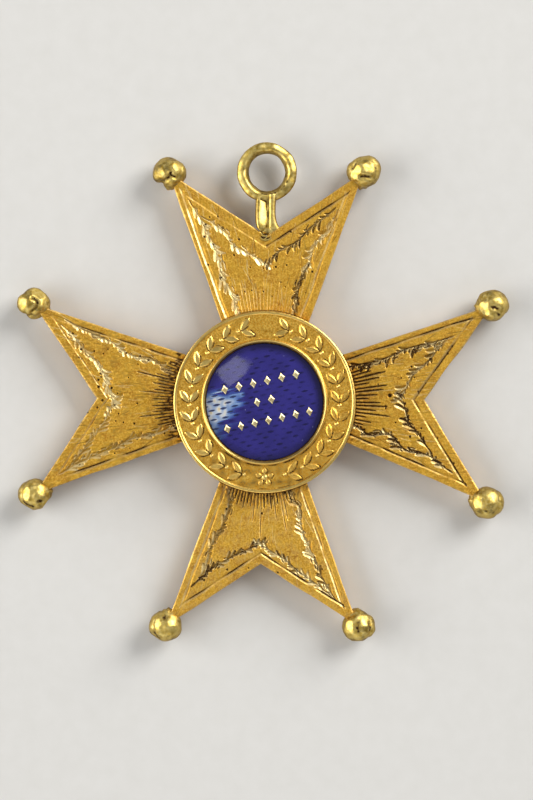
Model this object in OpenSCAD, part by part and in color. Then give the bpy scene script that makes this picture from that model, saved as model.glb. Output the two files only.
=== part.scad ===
// Order badge: a gold cross of four forked arms with a bead on every tip, a suspension eye
// in the upper notch, and a round enamelled medallion riveted to the middle.
// The badge lies face up on its beads: +Z leaves the face, +Y runs along the upper arm.
// All sizes are in millimetres.

/* [Cross plate] */
// Distance from the middle of the cross to the centre of a bead, along the arm
bead_reach = 19.6; // [18.5:0.1:21]
// Distance from an arm's centre line to the centre of a bead
bead_spread = 8.35; // [7.8:0.05:8.9]
// Distance from the middle of the cross to the vertex of a notch
notch_reach = 14.1; // [13.2:0.1:15]
// Half width of an arm where it goes under the medallion
root_half = 3.44; // [3:0.02:3.8]
// Thickness of the plate
plate_t = 1.2; // [0.8:0.1:1.6]
// Radius of a bead
bead_r = 1.4; // [1.2:0.05:1.6]

/* [Engraving] */
// Depth of every engraved line
cut_depth = 0.12; // [0.05:0.01:0.2]
// Width of the border line
border_w = 0.2; // [0.1:0.02:0.3]
// Distance of the border line from the outer edges of an arm
border_side = 0.6; // [0.5:0.05:0.8]
// Distance of the border line from the edges of a notch
border_notch = 0.7; // [0.6:0.05:0.9]
// Number of rays on each arm
ray_count = 19; // [9:2:21]
// Angle between two rays
ray_step = 1.83; // [1.5:0.01:2]
// Length of the short rays outside the medallion
ray_len = 1.9; // [1:0.1:2.4]
// Length of one leaf stroke
leaf_len = 1.0; // [0.7:0.05:1.2]

/* [Suspension eye] */
// Radius of the round opening
eye_hole_r = 1.6; // [1.4:0.05:1.8]
// Radial width of the band around it
eye_band = 0.94; // [0.7:0.02:1.1]
// Thickness of the band
eye_t = 1.3; // [1:0.1:1.5]
// Distance from the middle of the cross to the middle of the opening
eye_reach = 19.8; // [19.4:0.1:20.4]

/* [Medallion] */
// Outer radius of the medallion's frame
frame_r = 7.83; // [7.6:0.01:8.1]
// Height of the frame's outer rim above the plate
frame_h = 1.25; // [1.1:0.05:1.4]
// Width of the outer rim
rim_w = 0.27; // [0.2:0.01:0.35]
// Width of the inner rim round the enamel
inner_rim_w = 0.3; // [0.2:0.01:0.4]
// Height of the inner rim above the outer one
inner_rim_rise = 0.1; // [0:0.02:0.16]
// Radius of the opening that shows the enamel
enamel_r = 5.05; // [4.8:0.05:5.2]
// Rise of the enamel's dome
enamel_rise = 0.25; // [0.1:0.05:0.3]
// Number of leaf groups on each branch of the wreath
wreath_groups = 11; // [6:1:11]
// Height of the wreath above the band
wreath_h = 0.16; // [0.1:0.02:0.2]
// Tilt of the rows of gilt marks
row_tilt = 12; // [0:1:15]

/* [Hidden] */
$fn = 64;

// Columns of the arms table: direction in degrees, sideways shift of the root, then how far the
// first and the second bead going round, and the notch, stray along and across the arm
TURN = 0;
ROOT = 1;
FIRST = 2;
SECOND = 3;
NOTCH = 4;
arms = [
    [  0,  0.39, [-0.49, -0.30], [ 0.02, -0.04], [-0.35,  0.17]],
    [ 90, -0.06, [ 0.24, -0.26], [ 0.15, -0.09], [ 0.20, -0.15]],
    [180, -0.38, [ 0.33, -0.13], [ 0.20, -0.39], [ 0.30, -0.33]],
    [270, -0.11, [-0.32, -0.13], [-0.28, -0.30], [-0.15, -0.30]]
];
root_reach = 6;

// Columns of the dents table: arm, bead on it, direction of the dent around +Z, its height above
// the bead's middle in degrees, depth, and radius of what pressed it in
DENT_ARM = 0;
DENT_BEAD = 1;
DENT_TURN = 2;
DENT_LIFT = 3;
DENT_DEPTH = 4;
DENT_R = 5;
dents = [
    [2, FIRST, 250, 30, 0.35, 1.3],
    [1, SECOND, 230, 25, 0.25, 0.9],
    [1, FIRST, 270, 30, 0.22, 0.8],
    [0, SECOND, 200, 40, 0.18, 0.8],
    [2, SECOND, 225, 35, 0.15, 0.6],
    [3, SECOND, 60, 45, 0.20, 1.2]
];

// Gap that neighbouring pieces keep
gap = 0.03;
// Length by which a cutting shape runs past what it cuts
past = 1;

// Heights of the plate's back and face
plate_z = bead_r - plate_t / 2;
plate_top = plate_z + plate_t;

// Rays: width at the root, how much longer the middle one and the two outer ones are, and how
// far they start under the medallion
ray_w = 0.12;
ray_stretch = 1.6;
ray_tuck = 0.3;

// Leaf strokes: width, part of their length at which they are widest, lean from their stem, and
// distance of their root from it
leaf_stroke_w = 0.24;
leaf_belly = 0.45;
leaf_lean = 32;
leaf_root = 0.08;
// Columns of the sprays table: outline corner where a spray starts, corner where it ends, part
// of the way at which it begins, and number of leaves
SPRAY_FROM = 0;
SPRAY_TO = 1;
SPRAY_START = 2;
SPRAY_COUNT = 3;
sprays = [[0, 1, 0.32, 12], [4, 3, 0.32, 12], [2, 1, 0.05, 7], [2, 3, 0.05, 7]];
// Distance of the sprays from the border lines, at the sides and at the notch
spray_gap_side = 1.1;
spray_gap_notch = 1.0;
spray_side = border_side + spray_gap_side;
spray_notch = border_notch + spray_gap_notch;

// Section of the eye's band: land at the opening, inner bevel, crest and outer edge
eye_x = 0.22;
eye_r = eye_hole_r + eye_band;
eye_land = 0.6;
eye_bevel = 0.22;
eye_bevel_drop = 0.05;
eye_crest = 0.5;
eye_edge = 0.1;

// Columns of the strands table: where a strand of the stem stands across the eye, its radius, how
// far its axis lies above the beads' middle, and how far its foot lies above the notch
STRAND_X = 0;
STRAND_R = 1;
STRAND_LIFT = 2;
STRAND_FOOT = 3;
strands = [[-0.19, 0.56, 0.15, 0.75], [0.66, 0.36, 0.10, 0.55]];
// Flare of solder beside the right strand: radius of its hollow side, thickness, left edge, how
// far it sinks below the notch, and how far it reaches past the hollow to the side and up
flare_r = 0.7;
flare_t = 0.8;
flare_x = 0.6;
flare_sink = 0.05;
flare_foot = 0.4;
flare_base = 0.5;
flare_lift = 0.2;

// Rivet: radius of its pin, of its heads, and their thickness
rivet_r = 0.6;
rivet_head_r = 1.3;
rivet_head_t = 0.3;
front_head_t = 0.17;

// Medallion: heights and widths of the frame, from the plate up
frame_z = plate_top + gap;
floor_t = 0.3;
band_drop = 0.13;
band_h = frame_h - band_drop;
band_crown = 0.04;
frame_edge = 0.1;
inner_rim_h = frame_h + inner_rim_rise;

// Wreath on the band: middle radius, sweep of a branch, start of a branch from the rosette, and
// part of a step before the first leaves
wreath_r = (enamel_r + inner_rim_w + frame_r - rim_w) / 2;
branch_sweep = 158;
branch_start = 14;
branch_lead = 0.25;
leaf_w = 0.52;
leaf_l = 1.28;
leaf_splay = 36;
berry_r = 0.13;
// Rosette: radius of its middle, where its petals start, their number, length and width
rosette_r = 0.22;
petal_root = 0.28;
petals = 5;
petal_l = 0.5;
petal_w = 0.36;
// Depth to which the wreath is sunk into the band
sunk = 0.08;

// Ground and enamel: a plate, and a dome with an upright edge on it
ground_z = frame_z + floor_t + gap;
ground_t = 0.42;
enamel_z = ground_z + ground_t + gap;
enamel_edge = 0.16;
enamel_edge_r = enamel_r - gap;
dome_r = (enamel_edge_r * enamel_edge_r + enamel_rise * enamel_rise) / (2 * enamel_rise);

// Columns of the rows of gilt marks: height of the row's middle, number of marks, spacing
ROW_Y = 0;
ROW_COUNT = 1;
ROW_STEP = 2;
mark_rows = [[1.75, 6, 1.25], [0.1, 2, 1.25], [-1.6, 7, 1.2]];
mark_t = 0.06;
mark_l = 0.86;
mark_w = 0.6;

// Points of one arm in its own frame: u runs outward and v to the left of it
function root_point(arm, side) = [root_reach, arm[ROOT] + side * root_half];
function bead_point(arm, bead) =
    [bead_reach, bead_spread * (bead == FIRST ? -1 : 1)] + arm[bead];
function notch_point(arm) = [notch_reach, 0] + arm[NOTCH];
function arm_outline(arm) = [root_point(arm, -1), bead_point(arm, FIRST), notch_point(arm),
                             bead_point(arm, SECOND), root_point(arm, 1)];
function turned(p, angle) = [p.x * cos(angle) - p.y * sin(angle), p.x * sin(angle) + p.y * cos(angle)];
function bead_centre(arm, bead) = turned(bead_point(arm, bead), arm[TURN]);

// Line moved to its left, and the point where two lines meet
function beside(p, q, d) = let (t = (q - p) / norm(q - p)) [p + d * [-t.y, t.x], q + d * [-t.y, t.x]];
function meet(a, b) =
    let (r = a[1] - a[0], s = b[1] - b[0]) a[0] + r * cross(b[0] - a[0], s) / cross(r, s);

// An arm's outline drawn in by one distance along its sides and another along its notch
function drawn_in(arm, side, notch) =
    let (p = arm_outline(arm),
         a = beside(p[0], p[1], side), b = beside(p[1], p[2], notch),
         c = beside(p[2], p[3], notch), d = beside(p[3], p[4], side))
    [a[0], meet(a, b), meet(b, c), meet(c, d), d[1]];

// The whole badge is moved so that the middle of its box lies on the origin
beads = [for (arm = arms) for (bead = [FIRST, SECOND]) bead_centre(arm, bead)];
low_x = min([for (b = beads) b.x]) - bead_r;
high_x = max([for (b = beads) b.x]) + bead_r;
low_y = min([for (b = beads) b.y]) - bead_r;
high_y = eye_reach + eye_r;
middle = -[(low_x + high_x) / 2, (low_y + high_y) / 2];

// Four-sided stroke of the graver, from the origin along +X, widest at its middle
module stroke(length, width) {
    belly = length * leaf_belly;
    polygon([[0, 0], [belly, -width / 2], [length, 0], [belly, width / 2]]);
}

// Closed band between the two border outlines of an arm
module border_line(arm) {
    polygon(concat(drawn_in(arm, border_side, border_notch),
                   [for (i = [4:-1:0]) drawn_in(arm, border_side + border_w, border_notch + border_w)[i]]));
}

// Rays that start under the medallion: the middle one and the two outer ones are longer
module rays() {
    half = (ray_count - 1) / 2;
    for (i = [-half:half]) {
        reach = ray_len * (i == 0 || abs(i) == half ? ray_stretch : 1);
        rotate(i * ray_step) translate([frame_r - ray_tuck, 0])
            polygon([[0, -ray_w / 2], [reach + ray_tuck, 0], [0, ray_w / 2]]);
    }
}

// Leaf strokes on alternate sides of a line from p to q
module leaf_spray(p, q, count) {
    step = (q - p) / count;
    along = atan2(step.y, step.x);
    for (i = [0:count - 1])
        translate(p + step * (i + 0.5)) rotate(along + (i % 2 == 0 ? leaf_lean : -leaf_lean))
            translate([leaf_root, 0]) stroke(leaf_len, leaf_stroke_w);
}

// Engraved lines of one arm: border, rays and four sprays
module arm_engraving(arm) {
    corners = drawn_in(arm, spray_side, spray_notch);
    border_line(arm);
    rays();
    for (s = sprays) {
        from = corners[s[SPRAY_FROM]];
        to = corners[s[SPRAY_TO]];
        leaf_spray(from + (to - from) * s[SPRAY_START], to, s[SPRAY_COUNT]);
    }
}

// Cross plate with its engraved face
module plate() {
    difference() {
        translate([0, 0, plate_z]) linear_extrude(plate_t)
            polygon([for (arm = arms) for (p = arm_outline(arm)) turned(p, arm[TURN])]);
        translate([0, 0, plate_top - cut_depth]) linear_extrude(cut_depth + past)
            for (arm = arms) rotate(arm[TURN]) arm_engraving(arm);
    }
}

// Beads on the tips, with the dents of wear
module bead_row() {
    for (a = [0:3])
        for (bead = [FIRST, SECOND]) {
            centre = bead_centre(arms[a], bead);
            difference() {
                translate([centre.x, centre.y, bead_r]) sphere(bead_r);
                for (d = dents)
                    if (d[DENT_ARM] == a && d[DENT_BEAD] == bead)
                        translate([centre.x, centre.y, bead_r]) rotate([0, -d[DENT_LIFT], d[DENT_TURN]])
                            translate([bead_r + d[DENT_R] - d[DENT_DEPTH], 0, 0]) sphere(d[DENT_R]);
            }
        }
}

// Hammered band of the eye: flat inside, bevelled to a crest and back
module eye_band() {
    h = eye_t / 2;
    land = eye_land / 2;
    translate([eye_x, eye_reach, bead_r]) rotate_extrude()
        polygon([[eye_hole_r, -land], [eye_hole_r + eye_bevel, eye_bevel_drop - h],
                 [eye_hole_r + eye_crest, -h], [eye_r - eye_edge, -land],
                 [eye_r, 0],
                 [eye_r - eye_edge, land], [eye_hole_r + eye_crest, h],
                 [eye_hole_r + eye_bevel, h - eye_bevel_drop], [eye_hole_r, land]]);
}

// Two strands from the eye down into the notch, each with a rounded foot
module eye_stem() {
    top = eye_reach - eye_hole_r - eye_band / 2;
    for (s = strands) {
        foot = notch_reach + s[STRAND_FOOT];
        translate([s[STRAND_X], foot, bead_r + s[STRAND_LIFT]]) rotate([-90, 0, 0]) {
            cylinder(h = top - foot, r = s[STRAND_R]);
            sphere(s[STRAND_R]);
        }
    }
}

// Flare of solder that fills the corner between the right strand and the notch
module stem_flare() {
    width = flare_r + flare_foot;
    height = flare_r + flare_base;
    translate([flare_x, notch_reach - flare_sink, bead_r - flare_t / 2]) linear_extrude(flare_t)
        difference() {
            square([width, height]);
            translate([width, height + flare_lift]) circle(flare_r);
        }
}

module gold_cross() {
    color("goldenrod") translate(middle) difference() {
        union() {
            plate();
            bead_row();
            eye_band();
            eye_stem();
            stem_flare();
        }
        translate([0, 0, plate_z - past]) cylinder(h = plate_t + 2 * past, r = rivet_r + gap);
        translate([eye_x, eye_reach, 0]) cylinder(h = 2 * bead_r, r = eye_hole_r);
    }
}

// Pointed leaf along +X from the origin, between two arcs
module leaf(length, width) {
    arc_r = (length * length + width * width) / (4 * width);
    intersection() {
        translate([length / 2, width / 2 - arc_r]) circle(arc_r);
        translate([length / 2, arc_r - width / 2]) circle(arc_r);
    }
}

// Wreath of two branches of paired leaves and berries that rise from a rosette at the foot
module wreath() {
    step = branch_sweep / wreath_groups;
    for (side = [-1, 1])
        for (i = [0:wreath_groups - 1])
            rotate(-90 + side * (branch_start + step * (i + branch_lead)))
                translate([wreath_r, 0]) rotate(side * 90) {
                    for (lean = [-leaf_splay, leaf_splay])
                        rotate(lean) translate([berry_r / 2, 0]) leaf(leaf_l, leaf_w);
                    translate([-leaf_w / 2, 0]) circle(berry_r);
                }
    translate([0, -wreath_r]) {
        circle(rosette_r);
        for (petal = [0:petals - 1])
            rotate(90 + petal * 360 / petals) translate([petal_root, 0]) leaf(petal_l, petal_w);
    }
}

// Ring with a floor: a rounded outer rim, a slightly crowned band and an inner rim
module medallion_frame() {
    band_out = frame_r - rim_w;
    band_in = enamel_r + inner_rim_w;
    corner = frame_edge / 3;
    color("gold") translate(middle) translate([0, 0, frame_z]) {
        rotate_extrude() polygon([
            [rivet_r + gap, 0], [frame_r - frame_edge, 0], [frame_r, frame_edge],
            [frame_r, frame_h - frame_edge], [frame_r - frame_edge, frame_h],
            [band_out + frame_edge / 2, frame_h], [band_out - corner, band_h - corner],
            [wreath_r, band_h + band_crown], [band_in, band_h],
            [band_in - frame_edge / 2, inner_rim_h - corner], [enamel_r + frame_edge, inner_rim_h],
            [enamel_r, inner_rim_h - frame_edge], [enamel_r, floor_t], [rivet_r + gap, floor_t]]);
        translate([0, 0, band_h - sunk]) linear_extrude(wreath_h + sunk) wreath();
    }
}

// Gold ground under the enamel, with a pocket for the rivet's front head
module ground_plate() {
    color("goldenrod") translate(middle) translate([0, 0, ground_z]) difference() {
        cylinder(h = ground_t, r = enamel_edge_r);
        translate([0, 0, -past]) cylinder(h = past + front_head_t + gap, r = rivet_head_r + gap);
    }
}

// Height of the enamel's surface at a distance from its middle
function dome_z(r) = enamel_z + enamel_edge + enamel_rise - dome_r + sqrt(dome_r * dome_r - r * r);

// Low dome of glass enamel with an upright edge
module enamel() {
    steps = 8;
    color("mediumblue") translate(middle) rotate_extrude(convexity = 2)
        polygon(concat([[0, enamel_z], [enamel_edge_r, enamel_z]],
                       [for (i = [steps:-1:0])
                           let (r = enamel_edge_r * i / steps) [r, dome_z(r)]]));
}

// Thin lozenge, the shape of a gilt mark
module lozenge() {
    linear_extrude(mark_t)
        polygon([[-mark_w / 2, 0], [0, -mark_l / 2], [mark_w / 2, 0], [0, mark_l / 2]]);
}

// Gilt marks in three tilted rows, each laid flat on the dome
module gilt_marks() {
    color("khaki") translate(middle)
        for (row = mark_rows)
            for (i = [0:row[ROW_COUNT] - 1]) {
                place = turned([(i - (row[ROW_COUNT] - 1) / 2) * row[ROW_STEP], row[ROW_Y]], row_tilt);
                facing = atan2(place.y, place.x);
                translate([place.x, place.y, dome_z(norm(place)) + gap])
                    rotate([0, asin(norm(place) / dome_r), facing]) rotate(row_tilt - facing) lozenge();
            }
}

// Rivet through the plate and the frame's floor, with a plain head at the back
module rivet() {
    color("goldenrod") translate(middle) {
        translate([0, 0, plate_z - gap - rivet_head_t]) {
            cylinder(h = rivet_head_t, r = rivet_head_r);
            cylinder(h = ground_z + front_head_t - plate_z + gap + rivet_head_t, r = rivet_r);
        }
        translate([0, 0, ground_z]) cylinder(h = front_head_t, r = rivet_head_r);
    }
}

gold_cross();
medallion_frame();
ground_plate();
enamel();
gilt_marks();
rivet();
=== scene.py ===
"""Looks of an order badge: a gold cross with beads, a suspension eye and an enamelled medallion.

Lengths are in millimetres in the badge's own plan, whose middle is the middle of the medallion.
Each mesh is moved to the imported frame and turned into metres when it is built.
"""

import logging
import math
from dataclasses import dataclass, field
from enum import Enum
from functools import partial

import bmesh
import bpy
import numpy as np
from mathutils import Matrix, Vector


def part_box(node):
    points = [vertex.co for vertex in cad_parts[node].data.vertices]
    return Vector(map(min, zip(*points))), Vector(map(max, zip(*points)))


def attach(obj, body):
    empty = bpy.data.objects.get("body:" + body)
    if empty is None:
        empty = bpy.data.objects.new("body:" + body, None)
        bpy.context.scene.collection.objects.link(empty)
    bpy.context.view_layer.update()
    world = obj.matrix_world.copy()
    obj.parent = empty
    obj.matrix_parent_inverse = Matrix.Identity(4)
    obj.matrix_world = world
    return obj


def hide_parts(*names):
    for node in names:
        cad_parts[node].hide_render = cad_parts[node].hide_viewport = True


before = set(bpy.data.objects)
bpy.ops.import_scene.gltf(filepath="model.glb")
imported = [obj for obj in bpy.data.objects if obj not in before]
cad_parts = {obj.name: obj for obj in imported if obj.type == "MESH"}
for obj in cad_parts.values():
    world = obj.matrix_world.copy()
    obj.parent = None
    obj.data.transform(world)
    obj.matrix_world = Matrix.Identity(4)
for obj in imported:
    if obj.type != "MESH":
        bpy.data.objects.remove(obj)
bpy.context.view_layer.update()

LOG = logging.getLogger("order_badge")
MM = 0.001
BODY = "root"

# Sizes that more than one piece has: the medallion's radius, the plate's thickness, the rivet's
# hole, the gap between pieces that sit in each other, and the tilt of the rows on and under the
# glass, in degrees.
MEDALLION_R = 7.83
PLATE_T = 1.2
RIVET_HOLE_R = 0.63
GAP = 0.03
ROW_TILT = 12.0

Array = np.ndarray
Material = bpy.types.Material
XY = tuple[float, float]
Numbers = float | Array


class Slot(Enum):
    """Names of material slots."""

    CROSS = "gold_cross"
    FRAME = "gold_frame"
    GROUND = "gold_ground"
    ENAMEL = "blue_enamel"
    GILT = "gilt"


class Tip(Enum):
    """The two tips of an arm, the first and the second one going round against the clock."""

    FIRST = -1
    SECOND = 1


class Edge(Enum):
    """The four edges of an arm that an ornament can follow."""

    FIRST_SIDE = "first_side"
    FIRST_NOTCH = "first_notch"
    SECOND_NOTCH = "second_notch"
    SECOND_SIDE = "second_side"


def linear(hex_colour: str) -> tuple[float, float, float, float]:
    """Turn an sRGB colour into the linear values that the shaders take.

    Args:
        hex_colour: six hex digits after a hash sign.

    Returns:
        Red, green, blue and an alpha of one.
    """
    channels = [int(hex_colour[i:i + 2], 16) / 255 for i in (1, 3, 5)]
    parts = [c / 12.92 if c <= 0.04045 else ((c + 0.055) / 1.055) ** 2.4 for c in channels]
    return (*parts, 1.0)


def turned(x: Numbers, y: Numbers, degrees: float) -> tuple[Numbers, Numbers]:
    """Turn numbers or arrays of points about the origin by an angle in degrees."""
    c, s = math.cos(math.radians(degrees)), math.sin(math.radians(degrees))
    return x * c - y * s, x * s + y * c


def unevenness(x: Array, y: Array, pitch: float, seed: int, waves: int = 14) -> Array:
    """Work out a smooth random height from a few crossing waves.

    Args:
        x: first coordinate of the points.
        y: second coordinate.
        pitch: usual distance between two bumps.
        seed: picks the pattern, and each use has its own.
        waves: number of waves that are added up.

    Returns:
        A height for each point, with a spread of about one.
    """
    rng = np.random.default_rng(seed)
    shortest, longest = 0.75, 1.35
    total = np.zeros_like(x)
    for _ in range(waves):
        angle = rng.uniform(0, math.tau)
        pace = math.tau / (pitch * rng.uniform(shortest, longest))
        total += np.sin(pace * (x * math.cos(angle) + y * math.sin(angle)) + rng.uniform(0, math.tau))
    return total / math.sqrt(waves / 2)


def clamp(part: Numbers) -> Numbers:
    """Limit a number or an array to the span from 0 to 1."""
    return np.clip(part, 0, 1)


def eased(part: Numbers) -> Numbers:
    """Ease a number or an array from 0 to 1, flat at both ends."""
    part = clamp(part)
    return part * part * (3 - 2 * part)


@dataclass(frozen=True)
class Places:
    """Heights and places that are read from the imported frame, in millimetres.

    The plan's middle is the middle of the enamel.
    """

    middle: XY
    bead_r: float
    plate_top: float
    frame_top: float
    ground_top: float
    enamel: XY

    @classmethod
    def read(cls) -> "Places":
        """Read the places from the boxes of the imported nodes.

        Returns:
            The places.
        """
        low = {name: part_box(name)[0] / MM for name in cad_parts}
        high = {name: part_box(name)[1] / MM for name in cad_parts}
        glass = (low["enamel"] + high["enamel"]) / 2
        return cls(
            middle=(glass.x, glass.y),
            bead_r=high["gold_cross"].z / 2,
            plate_top=low["medallion_frame"].z - GAP,
            frame_top=high["medallion_frame"].z,
            ground_top=high["ground_plate"].z,
            enamel=(low["enamel"].z, high["enamel"].z),
        )


PLACES = Places.read()


def grid_rim(index: Array) -> Array:
    """Indices round the edge of a grid."""
    return np.concatenate([index[0, :-1], index[:-1, -1], index[-1, :0:-1], index[:0:-1, 0]])


class MeshParts:
    """Points and faces of one piece, gathered from grids, rings and caps."""

    def __init__(self) -> None:
        """Start an empty piece."""
        self.points: list[Array] = []
        self.darkening: list[Array] = []
        self.lustre_and_highlight: list[Array] = []
        self.faces: list[Array] = []
        self.smooth: list[Array] = []
        self.count = 0

    def add_points(self, points: Array, darkening: Array | None = None,
                   lustre_and_highlight: Array | None = None) -> Array:
        """Add points with their soil and lustre.

        Args:
            points: array whose last axis holds x, y and z.
            darkening: how dark each point is, from 0 to 1, with dirt and painted shade.
            lustre_and_highlight: how bright each point is, from 0 to 1, with cut or rubbed metal and
                painted
            highlights.

        Returns:
            The index of each point, in the shape of the array.
        """
        shape = points.shape[:-1]
        total = int(np.prod(shape))
        self.points.append(points.reshape(-1, 3))
        self.darkening.append(np.zeros(total) if darkening is None else clamp(darkening).reshape(-1))
        self.lustre_and_highlight.append(np.zeros(total) if lustre_and_highlight is None else clamp(lustre_and_highlight).reshape(-1))
        index = np.arange(self.count, self.count + total).reshape(shape)
        self.count += total
        return index

    def add_faces(self, faces: Array, smooth: bool) -> None:
        """Add faces, each a row of point indices."""
        self.faces.append(faces)
        self.smooth.append(np.full(len(faces), smooth))

    def add_quads(self, index: Array, round_rows: bool = False, round_columns: bool = False,
                  smooth: bool = True) -> None:
        """Join a grid of points with four-sided faces.

        Args:
            index: grid of point indices.
            round_rows: join the last row to the first one.
            round_columns: join the last column to the first one.
            smooth: shade the faces smoothly.
        """
        if round_rows:
            index = np.vstack([index, index[:1]])
        if round_columns:
            index = np.hstack([index, index[:, :1]])
        quads = np.stack([index[:-1, :-1], index[:-1, 1:], index[1:, 1:], index[1:, :-1]], axis=-1)
        self.add_faces(quads.reshape(-1, 4), smooth)

    def add_cap(self, ring: Array) -> None:
        """Close a ring of points with one flat face."""
        self.add_faces(ring.reshape(1, -1), False)

    def add_tip(self, ring: Array, tip: Array, smooth: bool = True) -> None:
        """Close a ring of points with triangles that meet at one more point.

        Args:
            ring: indices of the points in the ring.
            tip: where the triangles meet.
            smooth: shade the faces smoothly.
        """
        point = self.add_points(tip.reshape(1, 3))
        fan = np.stack([ring, np.roll(ring, -1), np.full(len(ring), point[0])], axis=-1)
        self.add_faces(fan, smooth)

    def close_below(self, face: Array, height: float, lustre_and_highlight: float = 0.0) -> None:
        """Close a grid downward with upright sides and a flat foot.

        Args:
            face: grid of the face's point indices.
            height: where the foot lies.
            lustre_and_highlight: how bright the foot's points are.
        """
        rim = grid_rim(face)
        foot = np.concatenate(self.points)[rim]
        foot[:, 2] = height
        below = self.add_points(foot, lustre_and_highlight=np.full(len(foot), lustre_and_highlight))
        self.add_quads(np.stack([rim, below]), round_columns=True, smooth=False)
        self.add_cap(below)

    def build(self, name: str) -> bpy.types.Object:
        """Make the object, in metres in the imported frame, with its faces turned outward.

        Args:
            name: name of the piece.

        Returns:
            The new object.
        """
        points = np.concatenate(self.points) + (*PLACES.middle, 0.0)
        corners = np.concatenate([faces.reshape(-1) for faces in self.faces])
        sizes = np.concatenate([np.full(len(faces), faces.shape[1]) for faces in self.faces])
        mesh = bpy.data.meshes.new(name)
        mesh.vertices.add(len(points))
        mesh.vertices.foreach_set("co", (points * MM).reshape(-1))
        mesh.loops.add(len(corners))
        mesh.loops.foreach_set("vertex_index", corners)
        mesh.polygons.add(len(sizes))
        mesh.polygons.foreach_set("loop_start", np.concatenate([[0], np.cumsum(sizes)[:-1]]))
        mesh.polygons.foreach_set("use_smooth", np.concatenate(self.smooth))
        mesh.update(calc_edges=True)
        for label, values in (("darkening", self.darkening), ("lustre_and_highlight", self.lustre_and_highlight)):
            layer = mesh.attributes.new(label, "FLOAT", "POINT")
            layer.data.foreach_set("value", np.concatenate(values).astype(np.float32))
        outward = bmesh.new()
        outward.from_mesh(mesh)
        bmesh.ops.recalc_face_normals(outward, faces=outward.faces)
        outward.to_mesh(mesh)
        outward.free()
        piece = bpy.data.objects.new(name, mesh)
        bpy.context.scene.collection.objects.link(piece)
        return piece


def swell(turns: Array, fullness: float) -> tuple[Array, Array]:
    """Points of a circle of radius one, pressed toward a square where the fullness is over 2."""
    c, s = np.cos(turns), np.sin(turns)
    return np.sign(c) * np.abs(c) ** (2 / fullness), np.sign(s) * np.abs(s) ** (2 / fullness)


def sweep(parts: MeshParts, path: Array, across: Array, upright: Array,
          darkening: Array, sides: int = 20, roll: float = 0.0, fullness: float = 2.0) -> None:
    """Sweep an oval along a path that lies flat, and close both ends.

    Args:
        parts: the piece that takes the tube.
        path: middle points of the tube.
        across: half width of the oval at each point, level with the floor.
        upright: half height of the oval at each point.
        darkening: darkening at each point of the path, with dirt and painted shade.
        sides: number of points round the oval.
        roll: how far the oval is turned about the path, in degrees.
        fullness: 2 for an oval, more for flatter sides.
    """
    ahead = np.gradient(path, axis=0)
    ahead /= np.linalg.norm(ahead, axis=1, keepdims=True)
    level = np.cross(ahead, (0.0, 0.0, 1.0))
    level /= np.linalg.norm(level, axis=1, keepdims=True)
    up = np.cross(level, ahead)
    around = np.linspace(0, math.tau, sides, endpoint=False)
    out, over = swell(around, fullness)
    side, rise = turned(across[:, None] * out, upright[:, None] * over, roll)
    grid = path[:, None] + level[:, None] * side[..., None] + up[:, None] * rise[..., None]
    index = parts.add_points(grid, np.repeat(darkening, sides))
    parts.add_quads(index, round_columns=True)
    parts.add_tip(index[0], path[0])
    parts.add_tip(index[-1], path[-1])


def node(tree: bpy.types.NodeTree, kind: str, inputs: dict | None = None,
         **settings: object) -> bpy.types.Node:
    """Add one node with its settings and links.

    Args:
        tree: the tree that takes it.
        kind: the node's type without its ShaderNode prefix.
        inputs: for a socket's name or number, a value, or the output or node that feeds it. A node
            stands for the first output that it has in use.
        **settings: attributes of the node.

    Returns:
        The new node.
    """
    new = tree.nodes.new("ShaderNode" + kind)
    for name, value in settings.items():
        setattr(new, name, value)
    for name, value in (inputs or {}).items():
        if isinstance(value, bpy.types.Node):
            value = next(output for output in value.outputs if output.enabled)
        if isinstance(value, bpy.types.NodeSocket):
            tree.links.new(value, new.inputs[name])
        else:
            new.inputs[name].default_value = value
    return new


def empty_material(name: str) -> tuple[Material, bpy.types.NodeTree]:
    """Make a material whose node tree is empty.

    Args:
        name: name of the material.

    Returns:
        The material and its tree.
    """
    material = bpy.data.materials.new(name)
    material.use_nodes = True
    material.node_tree.nodes.clear()
    return material, material.node_tree


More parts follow.
